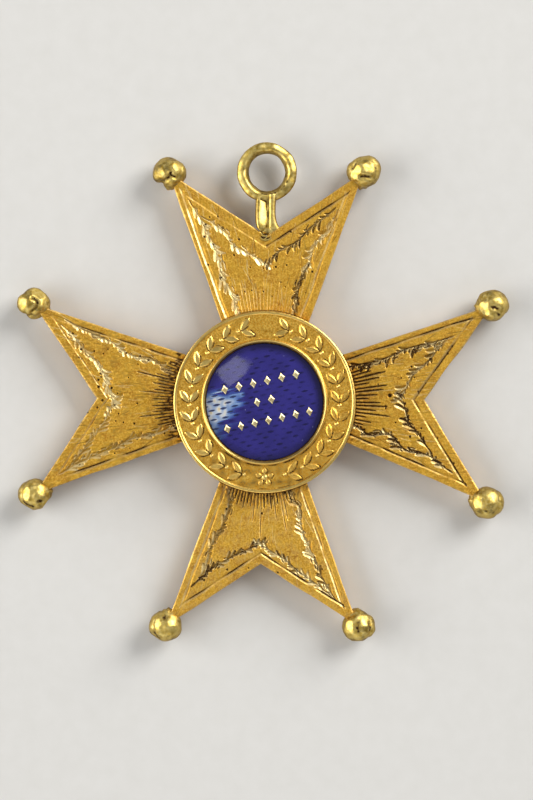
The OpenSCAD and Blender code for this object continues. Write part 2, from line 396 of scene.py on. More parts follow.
@dataclass(frozen=True)
class Gold:
    """A gold surface: its colours, its gloss and its grain.

    Grain, clouds and scratches are sizes in millimetres. The darkening is dark dirt that lies in
    the cuts together with painted shade on the cut walls that face away from the light, and the
    shine is where the graver or rubbing left the metal bright together with painted highlights on
    the walls that face the light; both are painted on the points. Film is how much old dirt covers
    the patches where the clouds' noise is above film_from. Side shade is a painted dark reflection,
    in the colour beside it, that covers what faces sideways.
    The scratches are drawn out and turned by an angle in radians.
    """

    name: str
    light: str
    deep: str
    fleck: str
    bright: str
    roughness: float
    bright_roughness: float
    grain_mm: float
    grain_height_mm: float
    cloud_mm: float = 2.2
    scratch_mm: float = 0.16
    scratch_height_mm: float = 0.004
    scratch_turn: float = 0.35
    scratch_squeeze: float = 0.08
    roughness_spread: float = 0.06
    darkening: str = "#36200A"
    darkening_gloss: float = 0.1
    darkening_roughness: float = 0.8
    film: float = 0.0
    film_from: float = 0.5
    film_fade: float = 0.14
    side_shade: float = 0.0
    side_shade_colour: str = "#7E5E14"

    def build(self) -> Material:
        """Make the material.

        Returns:
            The material.
        """
        material, tree = empty_material(self.name)
        add = partial(node, tree)
        place = add("TexCoord").outputs["Object"]
        clouds = add("TexNoise", {"Vector": place, "Scale": 1 / (self.cloud_mm * MM), "Detail": 4.0,
                                  "Roughness": 0.6})
        grain = add("TexNoise", {"Vector": place, "Scale": 1 / (self.grain_mm * MM), "Detail": 2.0,
                                 "Roughness": 0.55})
        streaks = add("Mapping", {"Vector": place, "Rotation": (0.0, 0.0, self.scratch_turn),
                                  "Scale": (1.0, self.scratch_squeeze, 1.0)})
        scratches = add("TexNoise", {"Vector": streaks, "Scale": 1 / (self.scratch_mm * MM),
                                     "Detail": 1.0})
        darkening = add("Attribute", attribute_name="darkening").outputs["Fac"]
        lustre_and_highlight = add("Attribute", attribute_name="lustre_and_highlight").outputs["Fac"]

        cloud_share = add("MapRange", {"Value": clouds, "From Min": 0.3, "From Max": 0.7})
        grain_share = add("MapRange", {"Value": grain, "From Min": 0.36, "From Max": 0.64})
        metal = add("Mix", {0: cloud_share, 6: linear(self.light), 7: linear(self.deep)},
                    data_type="RGBA")
        flecked = add("Mix", {0: grain_share, 6: metal, 7: linear(self.fleck)}, data_type="RGBA")
        cut = add("Mix", {0: lustre_and_highlight, 6: flecked, 7: linear(self.bright)}, data_type="RGBA")
        broken = add("MapRange", {"Value": grain, "From Min": 0.3, "From Max": 0.6, "To Min": 0.6,
                                  "To Max": 1.3})
        # The darkening holds dirt and painted shade; where it is high the gold turns dark, dull and less
        # metallic.
        darkness = add("Math", {0: darkening, 1: broken}, operation="MULTIPLY", use_clamp=True)
        patches = add("MapRange", {"Value": clouds, "From Min": self.film_from,
                                   "From Max": self.film_from + self.film_fade,
                                   "To Max": self.film})
        filmy = add("Math", {0: patches, 1: broken}, operation="MULTIPLY")
        cover = add("Math", {0: darkness, 1: filmy}, operation="MAXIMUM", use_clamp=True)
        # Painted dark reflection: what faces sideways takes the side colour.
        tilt = add("SeparateXYZ", {0: add("TexCoord").outputs["Normal"]}).outputs["Z"]
        sides = add("MapRange", {"Value": tilt, "From Min": 0.82, "From Max": 0.3,
                                 "To Max": self.side_shade})
        shaded = add("Mix", {0: sides, 6: cut, 7: linear(self.side_shade_colour)}, data_type="RGBA")
        colour = add("Mix", {0: cover, 6: shaded, 7: linear(self.darkening)}, data_type="RGBA")

        matt = add("MapRange", {"Value": grain, "From Min": 0.3, "From Max": 0.7,
                                "To Min": self.roughness - self.roughness_spread,
                                "To Max": self.roughness + self.roughness_spread})
        rubbed = add("Mix", {0: lustre_and_highlight, 2: matt, 3: self.bright_roughness})
        rough = add("Mix", {0: darkness, 2: rubbed, 3: self.darkening_roughness})
        metallic = add("Math", {0: 1.0, 1: darkness}, operation="SUBTRACT")

        fine = add("Bump", {"Height": grain, "Strength": 1.0,
                            "Distance": self.grain_height_mm * MM})
        scored = add("Bump", {"Height": scratches, "Strength": 1.0, "Normal": fine,
                              "Distance": self.scratch_height_mm * MM})
        shader = add("BsdfPrincipled", {"Base Color": colour, "Metallic": metallic,
                                        "Specular IOR Level": self.darkening_gloss, "Roughness": rough,
                                        "Normal": scored})
        add("OutputMaterial", {"Surface": shader})
        return material


# Gold plate left matt by acid and filed by hand: a dull orange-yellow field with a fine grain, in
# which the graver's cuts flash pale yellow. The real grain is near 0.05 mm; it is drawn at 0.12 mm
# so that it shows.
# The pale yellow is also laid on the cut walls that face the light, as a painted highlight.
MATT_ENGRAVED_GOLD = Gold(
    name="gold_matt_engraved", light="#DEAC34", deep="#C2822A", fleck="#F4C654", bright="#FFE6A4",
    roughness=0.54, bright_roughness=0.42, grain_mm=0.12, grain_height_mm=0.009, cloud_mm=1.1,
    film=0.16, film_from=0.53)

# Gold sheet raised and burnished, then dulled by handling: pale greenish yellow with soft, broken
# reflections, olive patches of old dirt and sides darkened olive brown by a painted dark
# reflection. The burnisher's strokes are about 0.3 mm wide.
BURNISHED_GOLD = Gold(
    name="gold_burnished", light="#DFC163", deep="#C09C3A", fleck="#EAD280", bright="#F0E4AC",
    roughness=0.44, bright_roughness=0.4, grain_mm=0.3, grain_height_mm=0.004, cloud_mm=0.9,
    scratch_height_mm=0.003, film=0.5, film_from=0.51, side_shade=0.6)

# Gold band stippled with a punch between burnished rims: warm, granular and deeper in colour. The
# real punch marks are near 0.1 mm; the grain is drawn at 0.14 mm so that it shows.
STIPPLED_GOLD = Gold(
    name="gold_stippled", light="#EEAF38", deep="#CE9228", fleck="#FFD05E", bright="#FFE38A",
    roughness=0.42, bright_roughness=0.28, grain_mm=0.14, grain_height_mm=0.012, cloud_mm=1.2,
    film=0.2, film_from=0.55)

# Gold ground turned on a rose engine: rows of bright lens-shaped cuts that flash under the glass.
# Its grain, 0.2 mm, is that of worn plate. Its dark blue-black colour is painted shade in the cuts.
ENGINE_TURNED_GOLD = Gold(
    name="gold_engine_turned", light="#F6F0DC", deep="#EAE0C2", fleck="#FAF6E6", bright="#FFFAEA",
    roughness=0.55, bright_roughness=0.5, grain_mm=0.2, grain_height_mm=0.001,
    scratch_height_mm=0.001, darkening="#08082A")

# Gilt foil laid on the glass and burnished: pale cream gold with crisp facets. The foil's grain is
# finer than 0.05 mm; it is drawn at 0.12 mm so that it shows.
# Its dark colour is the painted shade round the foot of each star.
BURNISHED_GILDING = Gold(
    name="gilding_burnished", light="#FFE8A8", deep="#F0CE7C", fleck="#FFF2C2", bright="#FFF6D8",
    roughness=0.34, bright_roughness=0.24, grain_mm=0.12, grain_height_mm=0.001,
    scratch_height_mm=0.001, darkening="#1A1430")


@dataclass(frozen=True)
class GlassEnamel:
    """Translucent vitreous enamel, fired and stoned smooth.

    It gives the eye a deep violet blue with a wet gloss, through which the turned gold shows
    faintly. Part of the light passes, tinted, and part is scattered back by the glass. The
    darkening painted on the points is how deep the glass looks there, with painted shade at its
    edge, and the shine painted on them is a painted reflection of the gold flashing through, pale
    blue to white and cream. The few gas specks are near 0.03 mm and are drawn up to 0.1 mm wide,
    so that they show.
    """

    name: str = "enamel_glass_fired"
    tint: str = "#7A72E8"
    flash_tint: str = "#C4DCFF"
    clear_tint: str = "#FFF6E6"
    deep: str = "#1C1858"
    # Colours of the painted reflection, from the plain glass to its brightest white and cream.
    flash_body: tuple[tuple[float, str], ...] = (
        (0.0, "#3E38A0"), (0.2, "#4E6CC0"), (0.42, "#86A8DC"), (0.62, "#C6D6EC"), (0.78, "#F6F8F4"),
        (0.9, "#FFECB8"), (1.0, "#FFCE98"))
    flash_deep: str = "#2C3E70"
    speck: str = "#B8B4F0"
    milkiness: float = 0.5
    flash_milkiness: float = 0.7
    cloud_mm: float = 1.8
    speck_pitch_mm: float = 1.05
    roughness: float = 0.05
    ior: float = 1.52

    def build(self) -> Material:
        """Make the material.

        Returns:
            The material.
        """
        material, tree = empty_material(self.name)
        add = partial(node, tree)
        place = add("TexCoord").outputs["Object"]
        clouds = add("TexNoise", {"Vector": place, "Scale": 1 / (self.cloud_mm * MM),
                                  "Detail": 3.0})
        specks = add("TexVoronoi", {"Vector": place, "Scale": 1 / (self.speck_pitch_mm * MM)})
        speck = add("MapRange", {"Value": specks.outputs["Distance"], "From Min": 0.03,
                                 "From Max": 0.05, "To Min": 0.6, "To Max": 0.0})
        # Darkening: deeper glass over the cuts, and painted shade at the edge.
        depth_and_shade = add("Attribute", attribute_name="darkening").outputs["Fac"]
        uneven = add("MapRange", {"Value": clouds, "From Min": 0.35, "From Max": 0.7,
                                  "To Max": 0.4})
        deeper = add("Math", {0: uneven, 1: depth_and_shade}, operation="ADD", use_clamp=True)
        flash = add("Attribute", attribute_name="lustre_and_highlight").outputs["Fac"]
        pale = add("MapRange", {"Value": flash, "To Max": 1.0, "From Max": 0.4})
        lit = add("ValToRGB", {0: flash})
        stops = lit.color_ramp.elements
        while len(stops) < len(self.flash_body):
            stops.new(1.0)
        for stop, (place_on_ramp, colour) in zip(stops, self.flash_body):
            stop.position, stop.color = place_on_ramp, linear(colour)
        darkest = add("Mix", {0: pale, 6: linear(self.deep), 7: linear(self.flash_deep)},
                      data_type="RGBA")
        shade = add("Mix", {0: deeper, 6: lit, 7: darkest}, data_type="RGBA")
        specked = add("Mix", {0: speck, 6: shade, 7: linear(self.speck)}, data_type="RGBA")
        warm = add("MapRange", {"Value": flash, "To Max": 1.0, "From Min": 0.75})
        bluish = add("Mix", {0: pale, 6: linear(self.tint), 7: linear(self.flash_tint)},
                     data_type="RGBA")
        passed = add("Mix", {0: warm, 6: bluish, 7: linear(self.clear_tint)}, data_type="RGBA")
        milk = add("Mix", {0: pale, 2: self.milkiness, 3: self.flash_milkiness})
        clear = add("BsdfTransparent", {"Color": passed})
        glaze = add("BsdfPrincipled", {"Base Color": specked, "Roughness": self.roughness,
                                       "IOR": self.ior})
        gloss = add("BsdfGlossy", {"Color": (1.0, 1.0, 1.0, 1.0), "Roughness": self.roughness})
        mirror = add("Fresnel", {"IOR": self.ior})
        wet = add("MixShader", {0: mirror, 1: clear, 2: gloss})
        surface = add("MixShader", {0: milk, 1: wet, 2: glaze})
        add("OutputMaterial", {"Surface": surface})
        return material


@dataclass(frozen=True)
class StudioPaper:
    """Seamless studio paper: pale, dull and faintly uneven, with flocks of fibre 1.5 mm wide."""

    name: str = "paper_studio"
    light: str = "#D6D4CF"
    deep: str = "#CFCDC7"
    fibre_mm: float = 1.5
    roughness: float = 0.9

    def build(self) -> Material:
        """Make the material.

        Returns:
            The material.
        """
        material, tree = empty_material(self.name)
        add = partial(node, tree)
        place = add("TexCoord").outputs["Object"]
        fibres = add("TexNoise", {"Vector": place, "Scale": 1 / (self.fibre_mm * MM),
                                  "Detail": 4.0})
        colour = add("Mix", {0: fibres, 6: linear(self.light), 7: linear(self.deep)},
                     data_type="RGBA")
        shader = add("BsdfPrincipled", {"Base Color": colour, "Roughness": self.roughness})
        add("OutputMaterial", {"Surface": shader})
        return material


def finish_piece(piece: bpy.types.Object, material: Material,
                 replaced: tuple[str, ...]) -> None:
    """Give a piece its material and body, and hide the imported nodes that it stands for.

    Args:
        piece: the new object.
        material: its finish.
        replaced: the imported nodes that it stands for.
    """
    piece.data.materials.append(material)
    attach(piece, BODY)
    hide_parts(*replaced)
    LOG.info("%s: %d faces", piece.name, len(piece.data.polygons))


@dataclass
class Relief:
    """Height, soil and lustre of many points at once, as tools cut into a surface or raise it."""

    x: Array
    y: Array
    height: Array = field(init=False)
    darkening: Array = field(init=False)
    lustre_and_highlight: Array = field(init=False)
    soil_left: float = 0.3

    def __post_init__(self) -> None:
        """Start with a plain surface."""
        self.height, self.darkening, self.lustre_and_highlight = (np.zeros_like(self.x) for _ in range(3))

    def cut(self, where: Array, depth: Array, darkening: Array, lustre_and_highlight: Array) -> None:
        """Sink some points to a depth where that is deeper, and darken or brighten them.

        Args:
            where: indices of the points.
            depth: depth at each of them.
            darkening: darkening at each of them, with dirt and painted shade.
            lustre_and_highlight: brightness at each of them, with cut or rubbed metal and painted
                highlights.
        """
        self.height[where] = np.minimum(self.height[where], -depth)
        self.darkening[where] = np.maximum(self.darkening[where], darkening)
        self.lustre_and_highlight[where] = np.maximum(self.lustre_and_highlight[where], lustre_and_highlight)

    def raise_to(self, where: Array, rise: Array, lustre_and_highlight: Array) -> None:
        """Lift some points to a height where that is higher, and brighten and clean them.

        Args:
            where: indices of the points.
            rise: height of each of them.
            lustre_and_highlight: brightness of each of them.
        """
        self.height[where] = np.maximum(self.height[where], rise)
        self.lustre_and_highlight[where] = np.maximum(self.lustre_and_highlight[where], lustre_and_highlight)
        self.darkening[where] *= self.soil_left

    def near(self, x: float, y: float, reach: float) -> Array:
        """Indices of the points within a distance of a place."""
        return np.flatnonzero((self.x - x) ** 2 + (self.y - y) ** 2 < reach ** 2)


@dataclass(frozen=True)
class Graver:
    """The engraver at work on one arm: its face, the way to the light and an uneven hand.

    The way to the light is an angle in degrees in the arm's plan.
    """

    relief: Relief
    sun: float
    rng: np.random.Generator


# Where the valley of a cut lies, between its edges at -1 and 1.
VALLEY = 0.1


def wall_depth(place: Array) -> Array:
    """Depth across a cut, from 0 at its edges to 1 in its valley."""
    return np.where(place < VALLEY, (place + 1) / (1 + VALLEY), (1 - place) / (1 - VALLEY))


@dataclass(frozen=True)
class Stroke:
    """One stroke of the graver: a comma that is widest near its head and thins to its tail.

    A smaller taper gives a blunter tail. Dirt stays in the valley; painted shade lies on the wall
    that faces away from the light and a painted highlight on the other wall, unless the stroke runs
    toward the light.
    """

    x: float
    y: float
    heading: float
    length: float
    width: float
    depth: float
    bend: float = 0.0
    darkening: float = 0.5
    lustre_and_highlight: float = 0.6
    taper: float = 0.8

    def cut(self, graver: Graver) -> None:
        """Cut the stroke.

        Args:
            graver: the engraver at work.
        """
        relief = graver.relief
        # The half width follows sqrt(along) * (1 - along) ** taper, whose largest value is peak.
        peak = math.sqrt(0.5) * self.taper ** self.taper / (0.5 + self.taper) ** (0.5 + self.taper)
        where = relief.near(self.x, self.y, self.length * 1.15)
        along, across = turned(relief.x[where] - self.x, relief.y[where] - self.y, -self.heading)
        along /= self.length
        across -= self.bend * self.length * 4 * along * (1 - along)
        inside = (along > 0) & (along < 1)
        where, along, across = where[inside], along[inside], across[inside]
        half = self.width / 2 / peak * np.sqrt(along) * (1 - along) ** self.taper + 1e-6
        aside = math.sin(math.radians(self.heading - graver.sun))
        place = across / half * (1 if aside > 0 else -1)
        inside = np.abs(place) < 1
        where, place, half = where[inside], place[inside], half[inside]
        wall = wall_depth(place)
        full = np.minimum(1, half / (self.width * 0.3))
        shy = 1 - abs(aside)
        # Dirt in the valley and painted shade on the wall away from the light; a painted highlight on
        # the wall toward it.
        dirt_and_shade = clamp((0.3 + 0.6 * shy - place) * 4) * np.minimum(1, wall * 3)
        bright = clamp((place + 0.1 - 0.5 * shy) * 4) * (1 - 0.6 * shy)
        relief.cut(where, self.depth * wall * full, self.darkening * dirt_and_shade * full, self.lustre_and_highlight * bright)


def smooth_path(points: tuple[XY, ...], pitch: float) -> Array:
    """Draw a flowing line through points and step along it evenly.

    Args:
        points: points that the line passes near.
        pitch: distance between two steps.

    Returns:
        The points of the line.
    """
    path = np.array(points, dtype=float)
    rounds = 3
    for _ in range(rounds):
        cut = np.empty((2 * len(path) - 2, 2))
        cut[0::2] = 0.75 * path[:-1] + 0.25 * path[1:]
        cut[1::2] = 0.25 * path[:-1] + 0.75 * path[1:]
        path = np.vstack([path[:1], cut, path[-1:]])
    run = np.concatenate([[0], np.cumsum(np.linalg.norm(np.diff(path, axis=0), axis=1))])
    at = np.linspace(0, run[-1], max(3, round(run[-1] / pitch) + 1))
    return np.column_stack([np.interp(at, run, path[:, axis]) for axis in (0, 1)])


@dataclass(frozen=True)
class Spray:
    """A leafy stem along one edge of an arm, cut from the medallion outward.

    Its leaves all point back and hang in groups, by turns on either side of it. Those on the one
    side lie nearly along the arm, one above the other, and those on the other side are smaller by
    the share leaning, and lean out by the angle splay. Follow is how much the leaves lean with the
    stem. Some groups are cut bright, with stronger painted highlights, and others are dull, with
    more dirt and painted shade.
    """

    stem: tuple[XY, ...]
    darkening: float = 0.5
    lustre_and_highlight: float = 0.6
    leaning: float = 0.6
    leaf: float = 0.98
    width: float = 0.4
    stem_width: float = 0.24
    depth: float = 0.16
    pitch: float = 0.46
    follow: float = 0.5
    splay: float = 28.0
    doubled: float = 0.6
    group: int = 3

    def engrave(self, graver: Graver) -> None:
        """Cut the stem and its leaves.

        Args:
            graver: the engraver at work.
        """
        rng = graver.rng
        path = smooth_path(self.stem, self.pitch)
        side = math.copysign(1, self.stem[-1][1] - self.stem[0][1])
        glint = 1.0
        for i in range(len(path) - 1):
            step = path[i + 1] - path[i]
            bearing = math.degrees(math.atan2(step[1], step[0]))
            place = i % (self.group + 2)
            if place == 0:
                glint = rng.uniform(0.45, 1.35)
            self.stroke(graver, path[i], bearing, float(np.hypot(*step)) * 1.7, self.stem_width, 0.0,
                        glint)
            size = self.leaf * rng.uniform(0.8, 1.15)
            if place < self.group:
                back = 180 + self.follow * bearing + 8 * side * (1 - place)
                self.hang(graver, path[i], back, size, side, glint)
            if place != 0:
                back = bearing + 180 + side * (self.splay + rng.uniform(-8, 8))
                share = self.leaning if place >= self.group else 0.5 * self.leaning
                self.hang(graver, path[i], back, size * share, -side, glint)

    def hang(self, graver: Graver, joint: Array, back: float, size: float, side: float,
             glint: float) -> None:
        """Cut one leaf that points back from its joint on the stem, often with a thin one beside it.

        Args:
            graver: the engraver at work.
            joint: where the leaf meets the stem.
            back: the way the leaf points, in degrees.
            size: its length.
            side: 1 to the left of the stem, -1 to the right.
            glint: how bright it is.
        """
        rng = graver.rng
        width = self.width * min(1.0, 0.5 + 0.5 * size)
        bend = -0.1 * side
        dx, dy = turned(size, 0.0, back)
        self.stroke(graver, joint + (dx, dy), back + 180, size, width, bend, glint)
        if rng.random() < self.doubled:
            dx, dy = turned(size * rng.uniform(0.7, 1.15), side * rng.uniform(0.14, 0.24),
                            back + 6 * side)
            self.stroke(graver, joint + (dx, dy), back + 180, size * rng.uniform(0.5, 0.8),
                        0.5 * width, bend, glint)

    def stroke(self, graver: Graver, start: Array, heading: float, length: float, width: float,
               bend: float, glint: float) -> None:
        """Cut one uneven stroke of the spray.

        Args:
            graver: the engraver at work.
            start: where its head is.
            heading: the way it runs, in degrees.
            length: its length.
            width: its greatest width.
            bend: how far it bows, as a share of its length.
            glint: how bright it is.
        """
        rng = graver.rng
        Stroke(x=start[0], y=start[1], heading=heading, length=length,
               width=width * rng.uniform(0.85, 1.15), depth=self.depth * rng.uniform(0.8, 1.1),
               bend=bend, darkening=self.darkening * (1.5 - 0.5 * glint) * rng.uniform(0.8, 1.2),
               lustre_and_highlight=self.lustre_and_highlight * glint * rng.uniform(0.8, 1.2)).cut(graver)


@dataclass(frozen=True)
class Border:
    """The line cut beside one edge of an arm: distance from the edge, strength, darkening by dirt
    and painted shade, shine with a painted highlight, and width.
    """

    edge: Edge
    inset: float
    strength: float = 1.0
    darkening: float = 0.6
    lustre_and_highlight: float = 0.5
    width: float = 0.3


@dataclass(frozen=True)
class Rays:
    """Fan of straight cuts that come out from under the medallion.

    The first angle and the step are in degrees. The reaches are how far they come out, from the
    arm's first side to its second. Fade is how much fainter a ray gets with each millimetre of its
    reach.
    """

    first: float
    step: float
    reaches: tuple[float, ...]
    darkening: float
    lustre_and_highlight: float = 0.3
    width: float = 0.2
    depth: float = 0.11
    fade: float = 0.0
    taper: float = 0.35
    under: float = 0.8

    def engrave(self, graver: Graver) -> None:
        """Cut the rays from a little under the medallion's edge.

        Args:
            graver: the engraver at work.
        """
        rng = graver.rng
        for i, reach in enumerate(self.reaches):
            angle = self.first + i * self.step + rng.uniform(-0.2, 0.2)
            x, y = turned(MEDALLION_R - self.under, 0.0, angle)
            Stroke(x=x, y=y, heading=angle, length=reach * rng.uniform(0.95, 1.05) + self.under,
                   width=self.width * rng.uniform(0.85, 1.1), depth=self.depth,
                   darkening=self.darkening * rng.uniform(0.8, 1.15) / (1 + self.fade * reach),
                   lustre_and_highlight=self.lustre_and_highlight, taper=self.taper).cut(graver)


@dataclass(frozen=True)
class Pit:
    """A small hole or speck of dirt in an arm's face."""

    u: float
    v: float
    radius: float
    depth: float = 0.12

    def sink(self, relief: Relief) -> None:
        """Sink the pit.

        Args:
            relief: the face.
        """
        where = relief.near(self.u, self.v, self.radius)
        away = np.hypot(relief.x[where] - self.u, relief.y[where] - self.v) / self.radius
        relief.cut(where, self.depth * (1 - away ** 2), np.minimum(1.2, 4 * (1 - away)), 0 * away)


@dataclass(frozen=True)
class Scuffs:
    """Short shallow scratches along an arm: every third one bright, with a painted highlight on
    the wall toward the light, and the others dark, with dirt and painted shade.

    The spread is that of their ways, in degrees, and the half share is how far they reach to each
    side for each millimetre along the arm.
    """

    count: int = 170
    spread: float = 11.0
    reach: XY = (8.2, 18.5)
    half_share: float = 0.42
    length: XY = (0.5, 2.0)
    width: XY = (0.11, 0.17)
    depth: float = 0.014
    darkening: float = 0.55
    lustre_and_highlight: float = 0.55
    taper: float = 0.5

    def scratch(self, graver: Graver, shift: float) -> None:
        """Scratch the face of an arm.

        Args:
            graver: the engraver at work.
            shift: how far the arm's middle line lies to the left.
        """
        rng = graver.rng
        for i in range(self.count):
            u = rng.uniform(*self.reach)
            v = shift + rng.uniform(-self.half_share, self.half_share) * u
            heading = 0.8 * math.degrees(math.atan2(v, u)) + rng.normal(0.0, self.spread)
            Stroke(x=u, y=v, heading=heading, length=rng.uniform(*self.length),
                   width=rng.uniform(*self.width), depth=self.depth,
                   darkening=self.darkening * (i % 3 > 0) * rng.uniform(0.5, 1.2),
                   lustre_and_highlight=self.lustre_and_highlight * (i % 3 == 0), taper=self.taper).cut(graver)


@dataclass(frozen=True)
class Arm:
    """One forked arm in its own plan: u runs outward and v to the left of it.

    The two tips and the notch are given as drifts from the regular outline. Tarnish is an even
    film of dirt, scorch is the dirt that the soldering heat left beside the medallion, and rubbed
    is how bright wear left the face.
    """

    name: str
    turn: float
    root_shift: float
    first: XY
    second: XY
    notch: XY
    rays: Rays
    borders: tuple[Border, ...]
    sprays: tuple[Spray, ...]
    pits: tuple[Pit, ...] = ()
    specks: int = 9
    seed: int = 1
    tarnish: float = 0.0
    scorch: float = 0.0
    rubbed: float = 0.0
    scuffs: Scuffs = Scuffs()

    root_reach: float = 6.0
    root_half: float = 3.44
    bead_reach: float = 19.6
    bead_spread: float = 8.35
    notch_reach: float = 14.1

    def root(self, tip: Tip) -> XY:
        """Corner where an outer edge goes under the medallion."""
        return (self.root_reach, self.root_shift + tip.value * self.root_half)

    def tip(self, tip: Tip) -> XY:
        """Middle of the bead on a tip."""
        drift = self.first if tip is Tip.FIRST else self.second
        return (self.bead_reach + drift[0], tip.value * self.bead_spread + drift[1])

    def vertex(self) -> XY:
        """Inner corner of the notch."""
        return (self.notch_reach + self.notch[0], self.notch[1])

    def edges(self) -> dict[Edge, tuple[XY, XY]]:
        """Find the two ends of each edge, going round the arm against the clock.

        Returns:
            For each edge, its start and its end.
        """
        corners = (self.root(Tip.FIRST), self.tip(Tip.FIRST), self.vertex(), self.tip(Tip.SECOND),
                   self.root(Tip.SECOND))
        return dict(zip(Edge, zip(corners, corners[1:])))

    def to_plan(self, u: Numbers, v: Numbers) -> tuple[Numbers, Numbers]:
        """Turn points of the arm into the badge's plan."""
        return turned(u, v, self.turn)


def inset_from(x: Array, y: Array, a: XY, b: XY) -> Array:
    """Distance of points from the line through a and b, positive to the left of it."""
    dx, dy = b[0] - a[0], b[1] - a[1]
    return ((y - a[1]) * dx - (x - a[0]) * dy) / math.hypot(dx, dy)


@dataclass
class ArmPlate:
    """Builds one arm of the plate: an engraved face, plain sides and a plain back.

    The sun is the way to the light in the badge's plan, in degrees. The waves and ripples are the
    pitch and height of the face's unevenness.
    """

    arm: Arm
    along: int = 240
    across: int = 130
    edge_round: float = 0.12
    edge_drop: float = 0.07
    edge_lustre: float = 0.4
    sun: float = 48.0
    border_depth: float = 0.12
    file_pitch: float = 0.15
    file_reach: float = 0.9
    file_depth: float = 0.008
    file_soil: float = 0.3
    wander: float = 0.02
    waves: XY = (3.2, 0.012)
    ripples: XY = (0.45, 0.003)
    speck_reach: XY = (8.5, 16)
    speck_share: float = 0.38
    speck_r: XY = (0.07, 0.13)
    scorch_reach: float = 0.9
    rim_shadow: float = 0.9
    rim_shadow_middle: float = 0.04
    rim_shadow_reach: float = 0.07

    def plan(self) -> tuple[Array, Array]:
        """Lay out the face: rows run from the root to the notch, columns from tip to tip.

        Returns:
            The two coordinates of the grid's points.
        """
        s = np.linspace(0, 1, self.along + 1)[:, None]
        t = np.linspace(-1, 1, 2 * self.across + 1)[None, :]
        start = (self.arm.root_reach, self.arm.root_shift)
        end = self.arm.vertex()
        grid = []
        for axis in (0, 1):
            centre = start[axis] + s * (end[axis] - start[axis])
            sides = [self.arm.root(tip)[axis] + s * (self.arm.tip(tip)[axis] - self.arm.root(tip)[axis])
                     for tip in (Tip.FIRST, Tip.SECOND)]
            outer = np.where(t < 0, sides[0], sides[1])
            grid.append(centre * (1 - np.abs(t)) + outer * np.abs(t))
        u, v = grid
        fade = clamp(s * 3)
        u = u + self.wander * fade * unevenness(u, v, 5.0, self.arm.seed)
        v = v + self.wander * fade * unevenness(u, v, 5.0, self.arm.seed + 1)
        return u, v

    def cut_borders(self, relief: Relief, insets: dict[Edge, Array], side: Array) -> None:
        """Cut the border lines beside the edges, worn away here and there.

        Args:
            relief: the face.
            insets: distance of each point from each edge.
            side: negative on the first tip's half of the arm, positive on the second's.
        """
        arm = self.arm
        pairs = {Tip.FIRST: (Edge.FIRST_SIDE, Edge.FIRST_NOTCH),
                 Tip.SECOND: (Edge.SECOND_SIDE, Edge.SECOND_NOTCH)}
        lines = {border.edge: border for border in arm.borders}
        wander = 0.018 * unevenness(relief.x, relief.y, 3.5, arm.seed + 5)
        for tip, (outer, inner) in pairs.items():
            half = side * tip.value >= 0
            for edge, other in ((outer, inner), (inner, outer)):
                line = lines[edge]
                (ax, ay), (bx, by) = arm.edges()[edge]
                inward = math.degrees(math.atan2(bx - ax, ay - by))
                # Painted shade goes on the wall that faces away from the light, a painted highlight on
                # the other.
                lit = -1 if math.cos(math.radians(inward - self.sun + arm.turn)) > 0 else 1
                place = (insets[edge] + wander - line.inset) / (line.width / 2) * lit
                beyond = insets[other] > lines[other].inset - line.width / 2
                where = np.flatnonzero(half & (np.abs(place) < 1) & beyond)
                place = place[where]
                wear = unevenness(relief.x[where], relief.y[where], 2.4, arm.seed + 7)
                keep = np.clip(line.strength * (1 + 0.45 * wear), 0, 1.2)
                wall = wall_depth(place)
                dirt_and_shade = clamp((0.4 - place) * 3) * np.minimum(1, wall * 2)
                bright = clamp((place + 0.1) * 3)
                relief.cut(where, self.border_depth * wall * keep, line.darkening * keep * dirt_and_shade,
                           line.lustre_and_highlight * bright * np.minimum(1, keep))

    def engrave(self, relief: Relief, insets: dict[Edge, Array], side: Array) -> None:
        """Cut the borders, the rays, the sprays, the pits and the scratches, in that order.

        Args:
            relief: the face.
            insets: distance of each point from each edge.
            side: negative on the first tip's half of the arm, positive on the second's.
        """
        arm = self.arm
        rng = np.random.default_rng(arm.seed)
        graver = Graver(relief, self.sun - arm.turn, rng)
        self.cut_borders(relief, insets, side)
        arm.rays.engrave(graver)
        for spray in arm.sprays:
            spray.engrave(graver)
        for pit in arm.pits:
            pit.sink(relief)
        for _ in range(arm.specks):
            reach = rng.uniform(*self.speck_reach)
            Pit(reach, arm.root_shift + rng.uniform(-self.speck_share, self.speck_share) * reach,
                rng.uniform(*self.speck_r)).sink(relief)
        arm.scuffs.scratch(graver, arm.root_shift)

    def file_marks(self, relief: Relief, insets: dict[Edge, Array]) -> Array:
        """Score faint lines that a file left along the edges.

        Args:
            relief: the face, which takes their dirt.
            insets: distance of each point from each edge.

        Returns:
            Their height at each point.
        """
        marks = np.zeros_like(relief.x)
        for i, inset in enumerate(insets.values()):
            near = clamp(1 - inset / self.file_reach) * (inset > 0)
            lines = np.sin(inset * math.tau / self.file_pitch + i)
            patch = clamp(unevenness(relief.x, relief.y, 1.8, self.arm.seed + 11 + i))
            marks += near * patch * lines
            relief.darkening = np.maximum(relief.darkening, self.file_soil * near * patch * clamp(-lines))
        return self.file_depth * marks

    def rim_share(self, relief: Relief, insets: dict[Edge, Array]) -> Array:
        """Find where the face rounds over into the sides.

        Args:
            relief: the face.
            insets: distance of each point from each edge.

        Returns:
            From 0 on the flat to 1 at the edge.
        """
        outline = np.minimum(insets[Edge.FIRST_SIDE], insets[Edge.SECOND_SIDE])
        notch = np.maximum(insets[Edge.FIRST_NOTCH], insets[Edge.SECOND_NOTCH])
        rim = clamp(1 - np.minimum(outline, notch) / self.edge_round)
        rim[relief.x < self.arm.root_reach + 0.3] = 0
        return rim

